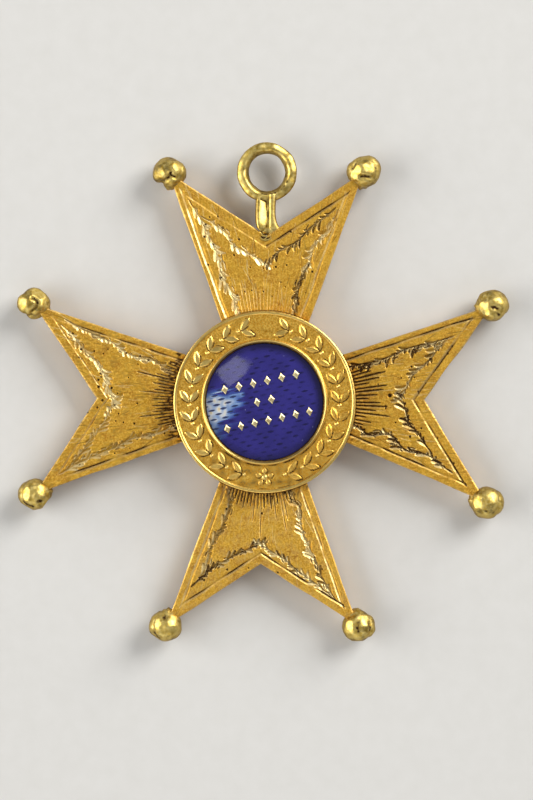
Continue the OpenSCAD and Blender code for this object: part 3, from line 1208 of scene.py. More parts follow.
    def weather(self, relief: Relief) -> None:
        """Tarnish, scorch and rub the face, and paint a dark shadow along the line where the
        medallion stands on it.

        Args:
            relief: the face.
        """
        arm = self.arm
        cloudy = np.clip(0.9 + 0.5 * unevenness(relief.x, relief.y, 1.1, 19)
                         + 0.6 * unevenness(relief.x, relief.y * 1.6, 0.5, 29), 0, 2.6)
        beyond = np.hypot(relief.x, relief.y) - MEDALLION_R
        smoky = clamp(0.6 + 0.6 * unevenness(relief.x * 0.4, relief.y, 0.4, 23))
        stain = arm.tarnish + arm.scorch * np.exp(-(beyond / self.scorch_reach) ** 2) * smoky
        # Painted shadow along the line where the medallion stands on the arm.
        line = self.rim_shadow * np.exp(-((beyond - self.rim_shadow_middle) / self.rim_shadow_reach) ** 2)
        relief.darkening = np.maximum(relief.darkening, np.maximum(stain * cloudy, line))
        relief.lustre_and_highlight = np.maximum(relief.lustre_and_highlight, arm.rubbed * cloudy)

    def build(self, material: Material) -> None:
        """Engrave the face, close the plate and finish it.

        Args:
            material: its finish.
        """
        arm = self.arm
        u, v = self.plan()
        relief = Relief(u.reshape(-1), v.reshape(-1))
        insets = {edge: inset_from(relief.x, relief.y, a, b) for edge, (a, b) in arm.edges().items()}
        side = np.tile(np.linspace(-1, 1, 2 * self.across + 1), self.along + 1)
        self.engrave(relief, insets, side)
        rim = self.rim_share(relief, insets)
        height = relief.height - self.edge_drop * rim ** 2
        for i, (pitch, rise) in enumerate((self.waves, self.ripples)):
            height += rise * unevenness(relief.x, relief.y, pitch, arm.seed + 3 + i)
        uncut = relief.height > -0.01
        height += self.file_marks(relief, insets) * uncut
        relief.lustre_and_highlight = np.maximum(relief.lustre_and_highlight, self.edge_lustre * rim)
        self.weather(relief)

        parts = MeshParts()
        x, y = arm.to_plan(u, v)
        points = np.stack([x, y, PLACES.plate_top + height.reshape(u.shape)], axis=-1)
        face = parts.add_points(points, relief.darkening, relief.lustre_and_highlight)
        parts.add_quads(face)
        parts.close_below(face, PLACES.plate_top - PLATE_T)
        finish_piece(parts.build(arm.name), material, ("gold_cross",))


@dataclass
class Hub:
    """Builds the middle of the plate, which the medallion hides from the front."""

    arms: tuple[Arm, ...]
    steps: int = 6

    def build(self, material: Material) -> None:
        """Build a ring between the roots of the arms and the rivet's hole.

        Args:
            material: its finish.
        """
        corners = [arm.to_plan(*arm.root(tip)) for arm in self.arms for tip in (Tip.FIRST, Tip.SECOND)]
        outer = []
        for a, b in zip(corners, corners[1:] + corners[:1]):
            outer += [(a[0] + (b[0] - a[0]) * i / self.steps, a[1] + (b[1] - a[1]) * i / self.steps)
                      for i in range(self.steps)]
        outer = np.array(outer)
        inner = outer / np.linalg.norm(outer, axis=1, keepdims=True) * RIVET_HOLE_R
        top, back = PLACES.plate_top, PLACES.plate_top - PLATE_T
        rings = [np.column_stack([ring, np.full(len(ring), z)])
                 for ring, z in ((outer, back), (outer, top), (inner, top), (inner, back))]
        parts = MeshParts()
        parts.add_quads(parts.add_points(np.stack(rings)), round_rows=True, round_columns=True,
                        smooth=False)
        finish_piece(parts.build("cross_hub"), material, ("gold_cross",))


@dataclass(frozen=True)
class Dent:
    """A dent in a bead: the way it faces, its depth and how wide it spreads, in degrees."""

    turn: float
    lift: float
    depth: float
    spread: float = 40.0


@dataclass(frozen=True)
class Lobe:
    """A lump on a bead: the way it faces, its rise and its half width, in degrees."""

    turn: float
    lift: float
    rise: float
    spread: float = 22.0


@dataclass(frozen=True)
class Crease:
    """A dark fold in a bead: the ways that it runs through, as turn and lift, and its depth.

    The ways and the width are in degrees. Its dark colour is painted shade in the fold, and the
    shallow ones stand mostly for painted dark reflections.
    """

    run: tuple[XY, ...]
    depth: float = 0.14
    width: float = 7.0
    darkening: float = 1.0


def facing(turn: float, lift: float) -> Array:
    """Unit vector for a turn round the upright axis and a lift above the floor, in degrees."""
    a, b = math.radians(turn), math.radians(lift)
    return np.array([math.cos(b) * math.cos(a), math.cos(b) * math.sin(a), math.sin(b)])


def angle_from(ways: Array, way: Array) -> Array:
    """Angles in degrees between many unit vectors and one."""
    return math.degrees(1) * np.arccos(np.clip(ways @ way, -1, 1))


@dataclass
class Ball:
    """Points of a bead as unit vectors from its middle, each with a radius and dirt."""

    ways: Array
    radius: Array
    darkening: Array

    def skewed(self) -> tuple[Array, Array]:
        """Two slanting coordinates of the points, so that a pattern has no axis on the ball."""
        return self.ways[:, 0] + 0.5 * self.ways[:, 2], self.ways[:, 1] - 0.4 * self.ways[:, 2]


@dataclass
class Bead:
    """Builds one bead: a ball raised from sheet, dented by wear and soldered to its tip.

    The blows are the flats that the hammer left all over it. A flatness of one makes them and the
    dents plane, and less leaves them a little convex. The neck is the fillet of solder on the side
    of the tip.
    """

    name: str
    arm: Arm
    tip: Tip
    seed: int
    dents: tuple[Dent, ...] = ()
    creases: tuple[Crease, ...] = ()
    lobes: tuple[Lobe, ...] = ()
    fineness: int = 5
    ripple: float = 0.025
    dimple: float = 0.006
    blows: int = 26
    blow_depth: XY = (0.01, 0.05)
    flatness: float = 0.72
    clearance: float = 0.02
    neck_spread: float = 42.0
    neck_rise: float = 0.2
    neck_darkening: float = 0.5

    def from_fold(self, ways: Array, start: Array, end: Array) -> Array:
        """Measure how far each way lies from the straight line between two ways.

        Args:
            ways: unit vectors to the points of the ball.
            start: the way that the line starts from.
            end: the way that it runs to.

        Returns:
            The distances.
        """
        run = end - start
        part = clamp((ways - start) @ run / max(run @ run, 1e-9))
        return np.linalg.norm(ways - (start + part[:, None] * run), axis=1)

    def hammer(self, ball: Ball) -> None:
        """Flatten the ball with the hammer's blows and the dents, then raise its lumps.

        Args:
            ball: the bead so far.
        """
        # Smallest cosine between a point's way and a flat's, whose plane runs far out beside it.
        grazing = 0.05
        rng = np.random.default_rng(self.seed)
        for _ in range(self.blows):
            blow = facing(rng.uniform(0, 360), math.degrees(math.asin(rng.uniform(-0.2, 1))))
            reach = PLACES.bead_r - rng.uniform(*self.blow_depth)
            flat = reach / np.clip(ball.ways @ blow, grazing, 1) ** self.flatness
            ball.radius = np.minimum(ball.radius, flat)
        for dent in self.dents:
            way = facing(dent.turn, dent.lift)
            flat = (PLACES.bead_r - dent.depth) / np.clip(ball.ways @ way, grazing, 1) ** self.flatness
            soft = clamp(angle_from(ball.ways, way) / dent.spread) ** 4
            ball.radius = np.minimum(ball.radius, flat + soft * dent.depth)
        for lobe in self.lobes:
            away = angle_from(ball.ways, facing(lobe.turn, lobe.lift))
            ball.radius += lobe.rise * clamp(1 - (away / lobe.spread) ** 2) ** 0.7

    def fold(self, ball: Ball) -> None:
        """Press the dark folds into the ball.

        Args:
            ball: the bead so far.
        """
        uneven = 1 + 0.3 * unevenness(*ball.skewed(), 0.25, 77)
        for crease in self.creases:
            ends = [facing(*way) for way in crease.run]
            away = np.min([self.from_fold(ball.ways, a, b) for a, b in zip(ends, ends[1:])], axis=0)
            share = np.exp(-(away / math.radians(crease.width)) ** 2)
            ball.radius -= crease.depth * share
            # Painted shade in the folds; along the shallow ones it stands for a painted dark reflection.
            darkness = crease.darkening * (0.3 * share + 0.7 * share ** 3) * uneven
            ball.darkening = np.maximum(ball.darkening, darkness)

    def solder(self, ball: Ball) -> None:
        """Run the fillet of solder down to the tip, with a ring of dirt and painted shade round
        its edge.

        Args:
            ball: the bead so far.
        """
        (u, v), (root_u, root_v) = self.arm.tip(self.tip), self.arm.root(self.tip)
        x, y = self.arm.to_plan(root_u - u, root_v - v * 0.8)
        angle = angle_from(ball.ways, np.array([x, y, -0.35]) / math.hypot(x, y, 0.35))
        neck = clamp(1 - angle / self.neck_spread)
        uneven = 1 + 0.25 * unevenness(ball.ways[:, 0], ball.ways[:, 1], 0.3, self.seed)
        ball.radius += self.neck_rise * neck * uneven
        # A ring of dirt and painted shade where the solder meets the ball.
        ring = clamp(1 - np.abs(angle - self.neck_spread * 0.85) / 7)
        ball.darkening = np.maximum(ball.darkening, self.neck_darkening * ring)

    def build(self, material: Material) -> None:
        """Shape the ball, flatten it where it touches the floor, and finish it.

        Args:
            material: its finish.
        """
        sphere = bmesh.new()
        bmesh.ops.create_icosphere(sphere, subdivisions=self.fineness, radius=1.0)
        ways = np.array([v.co for v in sphere.verts])
        faces = np.array([[v.index for v in f.verts] for f in sphere.faces])
        sphere.free()
        ball = Ball(ways, np.full(len(ways), PLACES.bead_r - self.clearance), np.zeros(len(ways)))
        ball.radius += self.ripple * (unevenness(*ball.skewed(), 0.9, self.seed) - 0.8)
        ball.radius += self.dimple * unevenness(*ball.skewed(), 0.32, self.seed + 50)
        self.hammer(ball)
        self.fold(ball)
        self.solder(ball)
        middle = (*self.arm.to_plan(*self.arm.tip(self.tip)), PLACES.bead_r)
        points = ways * ball.radius[:, None] + middle
        points[:, 2] = np.clip(points[:, 2], 0.0, 2 * PLACES.bead_r)
        parts = MeshParts()
        parts.add_faces(parts.add_points(points, ball.darkening)[faces], smooth=True)
        finish_piece(parts.build(self.name), material, ("gold_cross",))


@dataclass
class SuspensionEye:
    """Builds the eye: a hammered ring whose two ends run down as a stem into the notch.

    Pairs of sizes are those at the sides of the ring and at its top. The lap is where its ends
    meet: a dark slit between two angles, at its own radius. Each curl of solder has its middle,
    its radius and the angles between which it runs.
    """

    x: float = 0.21
    reach: float = 19.8
    path_r: XY = (2.07, 2.09)
    half_band: XY = (0.47, 0.43)
    thickness: float = 1.15
    hammered: XY = (0.025, 0.05)
    outward: float = 24.0
    notch_reach: float = 14.3
    around: int = 240
    sides: int = 36
    fullness: float = 2.8
    lap: XY = (-18.0, -84.0)
    lap_r: float = 1.92
    slit: float = 0.07
    strand_roll: float = 27.0
    curls: tuple[tuple[float, ...], ...] = (
        (0.05, 14.62, 0.36, 190.0, 300.0), (0.1, 14.55, 0.62, 215.0, 320.0),
        (-0.1, 14.3, 0.3, 240.0, 360.0))
    curl_points: int = 14

    def ring(self) -> MeshParts:
        """Shape the ring: a band whose face slopes outward, hammered a little uneven.

        Returns:
            The ring's points and faces.
        """
        parts = MeshParts()
        turn = np.linspace(0, math.tau, self.around, endpoint=False)[:, None]
        cross = np.linspace(0, math.tau, self.sides, endpoint=False)[None, :]
        x, y = np.cos(turn) + 0 * cross, np.sin(turn) + 0 * cross
        wide = 1 + self.hammered[0] * (unevenness(x * 2, y * 2, 1.3, 5) - 1)
        thick = 1 + self.hammered[1] * (unevenness(x * 2, y * 2, 1.1, 7) - 1)
        half = self.half_band[1] + (self.half_band[0] - self.half_band[1]) * x ** 2
        out, over = swell(cross, self.fullness)
        out, up = turned(out * half * wide, over * self.thickness / 2 * thick, -self.outward)
        points = np.stack([self.x + (self.path_r[0] + out) * x, self.reach + (self.path_r[1] + out) * y,
                           PLACES.bead_r + up], axis=-1)
        r = np.hypot(points[..., 0] - self.x, points[..., 1] - self.reach)
        degrees = np.degrees(turn) - 360
        along = eased((self.lap[0] - degrees) / 6) * eased((degrees - self.lap[1] + 24) / 6)
        slits = np.exp(-((r - self.lap_r) / self.slit) ** 2) * (up > 0)
        broken = np.clip(0.9 + 0.7 * unevenness(points[..., 0], points[..., 1], 0.45, 6), 0, 1.3)
        foot = eased((30 - np.abs(degrees + 92)) / 14) * eased((r - self.path_r[1]) / 0.3) * (up > 0)
        index = parts.add_points(points, np.maximum(along * slits * broken, 0.6 * foot * broken))
        parts.add_quads(index, round_rows=True, round_columns=True)
        return parts

    def left_strand(self, parts: MeshParts) -> None:
        """Add the wide left strand: a flattened lens that faces the light, with a rounded foot.

        Args:
            parts: the stem.
        """
        part = np.linspace(0, 1, 48)
        top, foot = self.reach - self.path_r[1] - 0.05, self.notch_reach + 0.38
        path = np.column_stack([-0.22 + 0.03 * np.sin(math.pi * part) - 0.08 * part ** 2,
                                top + (foot - top) * part,
                                PLACES.bead_r - 0.05 + 0.6 * part])
        taper = np.sqrt(clamp(1 - clamp((part - 0.66) / 0.34) ** 2)) + 0.02
        width = (0.52 + 0.08 * np.sin(math.pi * clamp(part * 1.15))) * taper
        sweep(parts, path, width, 0.3 * taper, sides=36, darkening=0.5 * clamp((part - 0.93) * 9),
              roll=self.strand_roll, fullness=3.0)

    def right_strand(self, parts: MeshParts) -> None:
        """Add the narrow right strand, which flares out at the notch.

        Args:
            parts: the stem.
        """
        part = np.linspace(0, 1, 40)
        top, foot = self.reach - self.path_r[1] + 0.2, self.notch_reach + 0.25
        flare = part ** 6
        path = np.column_stack([0.68 - 0.04 * np.sin(math.pi * part) + 0.22 * flare,
                                top + (foot - top) * part,
                                PLACES.bead_r + 0.22 - 0.1 * flare])
        sweep(parts, path, 0.36 - 0.05 * np.sin(math.pi * part) + 0.42 * flare, 0.42 - 0.08 * flare,
              sides=24, darkening=0.15 * flare, fullness=2.4)

    def seam(self, parts: MeshParts) -> None:
        """Add the web of solder between the strands, painted dark as shade of the crease there.

        Args:
            parts: the stem.
        """
        part = np.linspace(0, 1, 30)
        top, foot = self.reach - self.path_r[1] - 0.2, self.notch_reach + 0.2
        path = np.column_stack([0.36 - 0.05 * part, top + (foot - top) * part,
                                PLACES.bead_r + 0.05 + 0.05 * part])
        sweep(parts, path, 0.2 + 0 * part, 0.38 + 0 * part, darkening=0.5 + 0.25 * np.sin(part * 17))

    def solder(self, parts: MeshParts) -> None:
        """Add the mound of solder that laps over the corner of the notch, with curls round it.

        Args:
            parts: the stem.
        """
        part = np.linspace(0, 1, 16)
        path = np.column_stack([-0.45 + 1.5 * part, self.notch_reach + 0.42 + 0.12 * part,
                                PLACES.bead_r + 0.16 + 0 * part])
        swelling = np.sqrt(clamp(1 - (2 * part - 1) ** 2)) + 0.03
        sweep(parts, path, 0.36 * swelling, 0.4 * swelling, sides=28, roll=12,
              darkening=clamp(0.3 + 0.3 * np.sin(part * 17)))
        for x, y, radius, start, end in self.curls:
            turn = np.radians(np.linspace(start, end, self.curl_points))
            arc = np.column_stack([x + radius * np.cos(turn), y + radius * np.sin(turn),
                                   PLACES.plate_top + 0.02 + 0 * turn])
            thin = np.sin(np.linspace(0.25, math.pi - 0.15, self.curl_points))
            for offset, darkness in ((0.0, 0.4), (-0.13, 1.0)):
                shrunk = arc + (arc - (x, y, PLACES.plate_top + 0.02)) * offset / radius
                sweep(parts, shrunk, 0.09 * thin, 0.1 * thin - 0.03 * darkness, sides=10,
                      darkening=np.full(self.curl_points, darkness))

    def build(self, material: Material) -> None:
        """Build the ring and the stem as two pieces.

        Args:
            material: their finish.
        """
        finish_piece(self.ring().build("eye_ring"), material, ("gold_cross",))
        stem = MeshParts()
        self.left_strand(stem)
        self.right_strand(stem)
        self.seam(stem)
        self.solder(stem)
        finish_piece(stem.build("eye_stem"), material, ("gold_cross",))


@dataclass
class MedallionFrame:
    """Builds the frame: two burnished rims and a stippled band with a laurel wreath on it.

    The rim and the bezel have the radius of their crest, their half width and their rise. The
    spans are those of the rings of points on the face: two radii and how many rings. Leaves and
    petals have their length and width.
    """

    inner_r: float = 5.05
    rim_r: float = 7.67
    rim_half: float = 0.16
    rim_rise: float = 0.13
    bezel_r: float = 5.27
    bezel_half: float = 0.15
    bezel_rise: float = 0.23
    bezel_drop: float = 0.36
    floor_t: float = 0.3
    back_round: float = 0.06
    groups: int = 11
    wreath_r: float = 6.455
    sweep_angle: float = 158.0
    first_angle: float = 14.0
    wreath_rise: float = 0.16
    rib_depth: float = 0.05
    leaf_size: XY = (1.28, 0.52)
    leaf_start: float = 0.06
    splay: float = 36.0
    berry_r: float = 0.14
    berry_back: float = 0.22
    petals: int = 5
    petal_size: XY = (0.55, 0.42)
    petal_start: float = 0.26
    heart_r: float = 0.24
    punch_depth: float = 0.012
    around: int = 800
    spans: tuple[tuple[float, float, int], ...] = (
        (5.05, 5.46, 13), (5.5, 7.48, 34), (7.51, MEDALLION_R, 14))

    def leaf(self, relief: Relief, x: float, y: float, heading: float, size: XY) -> None:
        """Raise one pointed leaf with a sunk midrib, brighter with a painted highlight the further
        left and higher it lies, and paint shade on the ground beside it, darkest to its lower right.

        Args:
            relief: the face.
            x: first coordinate of its root.
            y: second coordinate.
            heading: the way it points, in degrees.
            size: its length and width.
        """
        length, width = size
        where = relief.near(x, y, length * 1.25)
        along, across = turned(relief.x[where] - x, relief.y[where] - y, -heading)
        along /= length
        half = width / 2 * 4 * along * (1 - along)
        place = across / np.maximum(half, 1e-6)
        inside = (along > 0) & (along < 1) & (np.abs(place) < 1)
        rise = self.wreath_rise * (1 - place[inside] ** 2) ** 0.4 * (0.75 + 0.25 * along[inside])
        rise -= self.rib_depth * np.exp(-(across[inside] / 0.035) ** 2)
        # Painted highlight: leaves further left and higher are brighter.
        relief.raise_to(where[inside], rise, np.full(rise.shape, 0.42 - 0.045 * x + 0.02 * y))
        beside = (along > -0.06) & (along < 1.06) & (np.abs(across) < np.maximum(half, 0) + 0.12)
        near = where[beside & ~inside]
        patchy = unevenness(relief.x[near], relief.y[near], 0.9, 21)
        # Painted shade on the ground beside the leaf, darkest to its lower right.
        middle_x, middle_y = turned(length / 2, 0.0, heading)
        lower_right = relief.x[near] - x - middle_x - relief.y[near] + y + middle_y
        shaded = np.clip(lower_right * 1.2, -0.4, 0.45)
        relief.darkening[near] = np.maximum(relief.darkening[near], clamp(0.5 + shaded + 0.3 * patchy))

    def berry(self, relief: Relief, x: float, y: float, radius: float) -> None:
        """Raise one round berry.

        Args:
            relief: the face.
            x: first coordinate of its middle.
            y: second coordinate.
            radius: its radius.
        """
        where = relief.near(x, y, radius)
        away = np.hypot(relief.x[where] - x, relief.y[where] - y) / radius
        relief.raise_to(where, self.wreath_rise * 1.05 * np.sqrt(1 - away ** 2),
                        np.full(away.shape, 0.8))

    def wreath(self, relief: Relief) -> None:
        """Raise the two branches and the rosette where they meet.

        Args:
            relief: the face.
        """
        step = self.sweep_angle / self.groups
        for side in (-1, 1):
            for i in range(self.groups):
                angle = -90 + side * (self.first_angle + step * (i + 0.25))
                x, y = turned(self.wreath_r, 0.0, angle)
                for splay in (-self.splay, self.splay):
                    heading = angle + side * 90 + splay
                    dx, dy = turned(self.leaf_start, 0.0, heading)
                    self.leaf(relief, x + dx, y + dy, heading, self.leaf_size)
                bx, by = turned(-self.berry_back, 0.0, angle + side * 90)
                self.berry(relief, x + bx, y + by, self.berry_r)
        for petal in range(self.petals):
            heading = 90 + 360 / self.petals * petal
            dx, dy = turned(self.petal_start, 0.0, heading)
            self.leaf(relief, dx, dy - self.wreath_r, heading, self.petal_size)
        self.berry(relief, 0.0, -self.wreath_r, self.heart_r)

    def dirt_and_shade(self, relief: Relief, r: Array) -> None:
        """Leave dirt and painted shade along the feet of both rims, heavier toward the lower
        right, and darken the frame toward its bottom.

        Args:
            relief: the face.
            r: radius of each point.
        """
        patchy = unevenness(relief.x, relief.y, 1.6, 31)
        # Dirt and painted shade at the feet of both rims, heavier toward the lower right.
        rim_dirt_and_shade = (np.exp(-((r - self.bezel_r - self.bezel_half - 0.05) / 0.06) ** 2)
                 + np.exp(-((r - self.rim_r + self.rim_half + 0.03) / 0.05) ** 2))
        low_side = np.clip(0.5 - relief.y / 8 + relief.x / 16, 0.2, 1)
        # Darker toward the bottom of the frame.
        foot = eased((-relief.y / r - 0.35) / 0.5)
        bottom_darkening = foot * np.clip(0.43 + 0.1 * unevenness(relief.x, relief.y, 0.9, 33), 0, 0.7)
        relief.darkening = np.clip(rim_dirt_and_shade * (0.4 + 0.5 * patchy) * low_side + bottom_darkening, 0, 0.9)

    def punch(self, relief: Relief, on_band: Array) -> None:
        """Punch the ground between the leaves, and keep the wreath to the band.

        Args:
            relief: the face.
            on_band: true for the points between the two rims.
        """
        punched = unevenness(relief.x, relief.y, 0.2, 8, waves=22)
        ground = on_band & (relief.height <= 0)
        relief.height = np.where(ground, self.punch_depth * punched, relief.height * on_band)
        hollows = ground * np.clip(0.3 * punched, 0, 0.45)
        relief.darkening = np.where(on_band, np.maximum(relief.darkening, hollows), 0)
        relief.lustre_and_highlight = relief.lustre_and_highlight * on_band

    def raise_rims(self, relief: Relief, r: Array) -> None:
        """Raise the outer rim and the bezel, whose inner side falls to the glass.

        Args:
            relief: the face.
            r: radius of each point.
        """
        crests = ((self.rim_r, self.rim_half, self.rim_rise),
                  (self.bezel_r, self.bezel_half, self.bezel_rise))
        rims = np.max([rise * np.sqrt(clamp(1 - ((r - crest) / half) ** 2))
                       for crest, half, rise in crests], axis=0)
        slope = clamp((self.bezel_r - r) / (self.bezel_r - self.inner_r))
        relief.height = np.where(r < self.bezel_r, self.bezel_rise - slope ** 1.3 * self.bezel_drop,
                                 np.maximum(relief.height, rims))
        relief.lustre_and_highlight = np.maximum(relief.lustre_and_highlight, (rims > 0.03) * 0.6)
        # Painted shadow: the bezel's inner wall turns near black where it falls to the glass.
        relief.darkening = np.maximum(relief.darkening, eased((self.bezel_r - 0.11 - r) / 0.05))

    def build(self, material: Material) -> None:
        """Build the frame as rings that run from the inner wall over the face to the back.

        Args:
            material: its finish.
        """
        face_r = np.concatenate([np.linspace(*span) for span in self.spans])
        turn = np.linspace(0, math.tau, self.around, endpoint=False)
        r = np.repeat(face_r[:, None], self.around, axis=1)
        x, y = r * np.cos(turn), r * np.sin(turn)
        relief = Relief(x.reshape(-1), y.reshape(-1))
        flat_r = r.reshape(-1)
        on_band = (flat_r > self.bezel_r + self.bezel_half) & (flat_r < self.rim_r - self.rim_half)
        self.dirt_and_shade(relief, flat_r)
        self.wreath(relief)
        self.punch(relief, on_band)
        self.raise_rims(relief, flat_r)
        wobble = 0.006 * unevenness(relief.x, relief.y, 2.0, 9)
        band_z = PLACES.frame_top - self.bezel_rise
        z = (band_z + relief.height + np.minimum(wobble, 0)).reshape(r.shape)

        parts = MeshParts()
        face = parts.add_points(np.stack([x, y, z], axis=-1), relief.darkening, relief.lustre_and_highlight)
        base = PLACES.plate_top + GAP
        floor = base + self.floor_t
        rows = [(MEDALLION_R, base + self.back_round), (MEDALLION_R - self.back_round, base),
                (RIVET_HOLE_R, base), (RIVET_HOLE_R, floor), (self.inner_r, floor)]
        hidden = np.stack([np.column_stack([radius * np.cos(turn), radius * np.sin(turn),
                                            np.full(self.around, height_mm)])
                           for radius, height_mm in rows])
        shell = np.concatenate([face, parts.add_points(hidden)])
        parts.add_quads(shell, round_rows=True, round_columns=True)
        finish_piece(parts.build("medallion_frame_gold"), material, ("medallion_frame",))


def disc_plan(radius: float, cells: int) -> tuple[Array, Array]:
    """Press a square grid of points into a disc, with cells of nearly even size.

    Args:
        radius: the disc's radius.
        cells: number of cells along a side of the grid.

    Returns:
        The two coordinates of the points.
    """
    a, b = np.meshgrid(np.linspace(-1, 1, cells + 1), np.linspace(-1, 1, cells + 1), indexing="ij")
    wide = np.abs(a) > np.abs(b)
    r = np.where(wide, a, b)
    small = np.where(wide, b, a)
    angle = math.pi / 4 * small / np.where(r == 0, 1, r)
    x = np.where(wide, r * np.cos(angle), r * np.sin(angle))
    y = np.where(wide, r * np.sin(angle), r * np.cos(angle))
    return x * radius, y * radius


@dataclass(frozen=True)
class TurnedPattern:
    """Rows of lens-shaped cuts, staggered like basket work and tilted.

    A cut is 0.7 mm long and about 0.2 mm wide.
    """

    row: float = 0.4
    dash: float = 1.02
    tilt: float = ROW_TILT
    share: float = 0.7
    slimness: float = 1.8

    def cuts(self, x: Array, y: Array) -> Array:
        """Work out how deep the cuts are at some points.

        Args:
            x: first coordinate of the points.
            y: second coordinate.

        Returns:
            From 0 between the cuts to 1 in them.
        """
        along, across = turned(x, y, -self.tilt)
        row = np.floor(across / self.row)
        up = (across / self.row - row) * 2 - 1
        shift = np.where(row % 2 == 0, 0.0, 0.5)
        part = ((along / self.dash + shift) % 1) * 2 - 1
        lens = clamp(1 - (part / self.share) ** 2)
        return clamp((lens - np.abs(up) * self.slimness) * 2)


@dataclass
class GroundPlate:
    """Builds the gold ground under the glass."""

    pattern: TurnedPattern
    radius: float = 5.0
    cells: int = 170
    thickness: float = 0.2
    clearance: float = 0.005
    depth: float = 0.05
    darkening: float = 0.75

    def build(self, material: Material) -> None:
        """Turn the pattern and finish the plate.

        Args:
            material: its finish.
        """
        x, y = disc_plan(self.radius, self.cells)
        cuts = self.pattern.cuts(x, y)
        parts = MeshParts()
        z = PLACES.ground_top - self.depth * cuts - self.clearance
        # The cuts are painted dark as shade.
        face = parts.add_points(np.stack([x, y, z], axis=-1), self.darkening * eased(cuts), 0.5 * (1 - cuts))
        parts.add_quads(face)
        parts.close_below(face, PLACES.ground_top - self.thickness)
        finish_piece(parts.build("ground_plate_turned"), material, ("ground_plate",))


@dataclass
class EnamelDome:
    """Builds the low dome of glass, smooth but for a faint firing ripple.

    The glass is painted darker over the cuts of the ground, where it is deeper, and darker still
    inside the flash. A painted shadow of the frame darkens its edge, heaviest toward the right. The
    flash is a painted reflection of the turned gold in a patch at the left, with a white, a cream
    and a rosy part, each an oval with a middle and half sizes.
    """

    pattern: TurnedPattern
    radius: float = 5.02
    edge: float = 0.16
    cells: int = 220
    cut_shade: float = 0.9
    shade_reach: float = 0.9
    shade_turn: float = 20.0
    clearance: float = 0.008
    ripple: float = 0.004
    white: tuple[XY, XY] = ((-4.3, -0.5), (1.6, 1.4))
    cream: tuple[XY, XY] = ((-3.85, 0.65), (1.2, 0.3))
    rosy: tuple[XY, XY] = ((-3.2, 0.88), (0.55, 0.2))

    def top(self, x: Numbers, y: Numbers) -> Numbers:
        """Find the height of the dome, which is part of a sphere.

        Args:
            x: first coordinate of a place, or of many.
            y: second coordinate.

        Returns:
            The height there, or an array of heights.
        """
        rise = PLACES.enamel[1] - PLACES.enamel[0] - self.edge
        sphere_r = (self.radius ** 2 + rise ** 2) / (2 * rise)
        return PLACES.enamel[1] - sphere_r + (sphere_r ** 2 - x ** 2 - y ** 2) ** 0.5

    def flash(self, x: Array, y: Array) -> Array:
        """Work out the painted reflection of the turned gold through the glass: most in a patch
        at the left.

        Args:
            x: first coordinate of the points.
            y: second coordinate.

        Returns:
            From 0 to 1 for each point.
        """
        def oval(middle: XY, half: XY) -> Array:
            """One inside a soft-edged oval that leans with the rows."""
            along, across = turned(x - middle[0], y - middle[1], -self.pattern.tilt)
            return eased(2.6 * (1 - np.hypot(along / half[0], across / half[1])))

        along, across = turned(x, y, -self.pattern.tilt)
        ragged = 0.3 * unevenness(along * 0.5, np.floor(across / self.pattern.row), 1.7, 14)
        corner = eased((inset_from(x, y, (-3.7, -2.3), (-1.6, 0.2)) + ragged) / 1.1 + 0.5)
        top = eased((1.75 - y + 0.15 * x + 0.5 * ragged) / 0.9)
        right = eased((-1.55 - x + ragged) / 0.9)
        patch = corner * top * right * (0.44 + 0.07 * unevenness(x, y, 0.9, 15))
        white = (0.24 + 0.08 * unevenness(x, y, 0.5, 17)) * oval(*self.white)
        warm = 0.38 * oval(*self.cream) + 0.2 * oval(*self.rosy)
        return clamp(patch + np.maximum(white, warm) * eased(patch * 4))

    def build(self, material: Material) -> None:
        """Build the dome and finish it.

        Args:
            material: its finish.
        """
        x, y = disc_plan(self.radius, self.cells)
        ripple = self.ripple * unevenness(x, y, 3.0, 12)
        inward = self.radius - np.hypot(x, y)
        z = self.top(x, y) - self.clearance + ripple * clamp(inward)
        parts = MeshParts()
        flash = self.flash(x, y)
        # The cuts are painted darker, much more so inside the painted reflection.
        strength = self.cut_shade * (0.6 + 0.3 * unevenness(x, y, 1.2, 16)) + 0.9 * eased(flash * 2)
        shade = self.pattern.cuts(x, y) * strength
        # Painted shadow of the frame round the edge of the glass, heaviest toward the right.
        edge = (np.hypot(x, y) - self.radius) / self.shade_reach + 1
        lean = 0.6 + 0.4 * np.cos(np.arctan2(y, x) - math.radians(self.shade_turn))
        shade = np.maximum(shade, 1.2 * eased(edge) * lean)
        face = parts.add_points(np.stack([x, y, z], axis=-1), shade, flash)
        parts.add_quads(face)
        parts.close_below(face, PLACES.enamel[0], lustre_and_highlight=1.0)
        finish_piece(parts.build("enamel_glass"), material, ("enamel",))


@dataclass(frozen=True)
class MarkRow:
    """A row of gilt marks: height of its middle, number of marks and spacing."""

    y: float
    count: int
    step: float


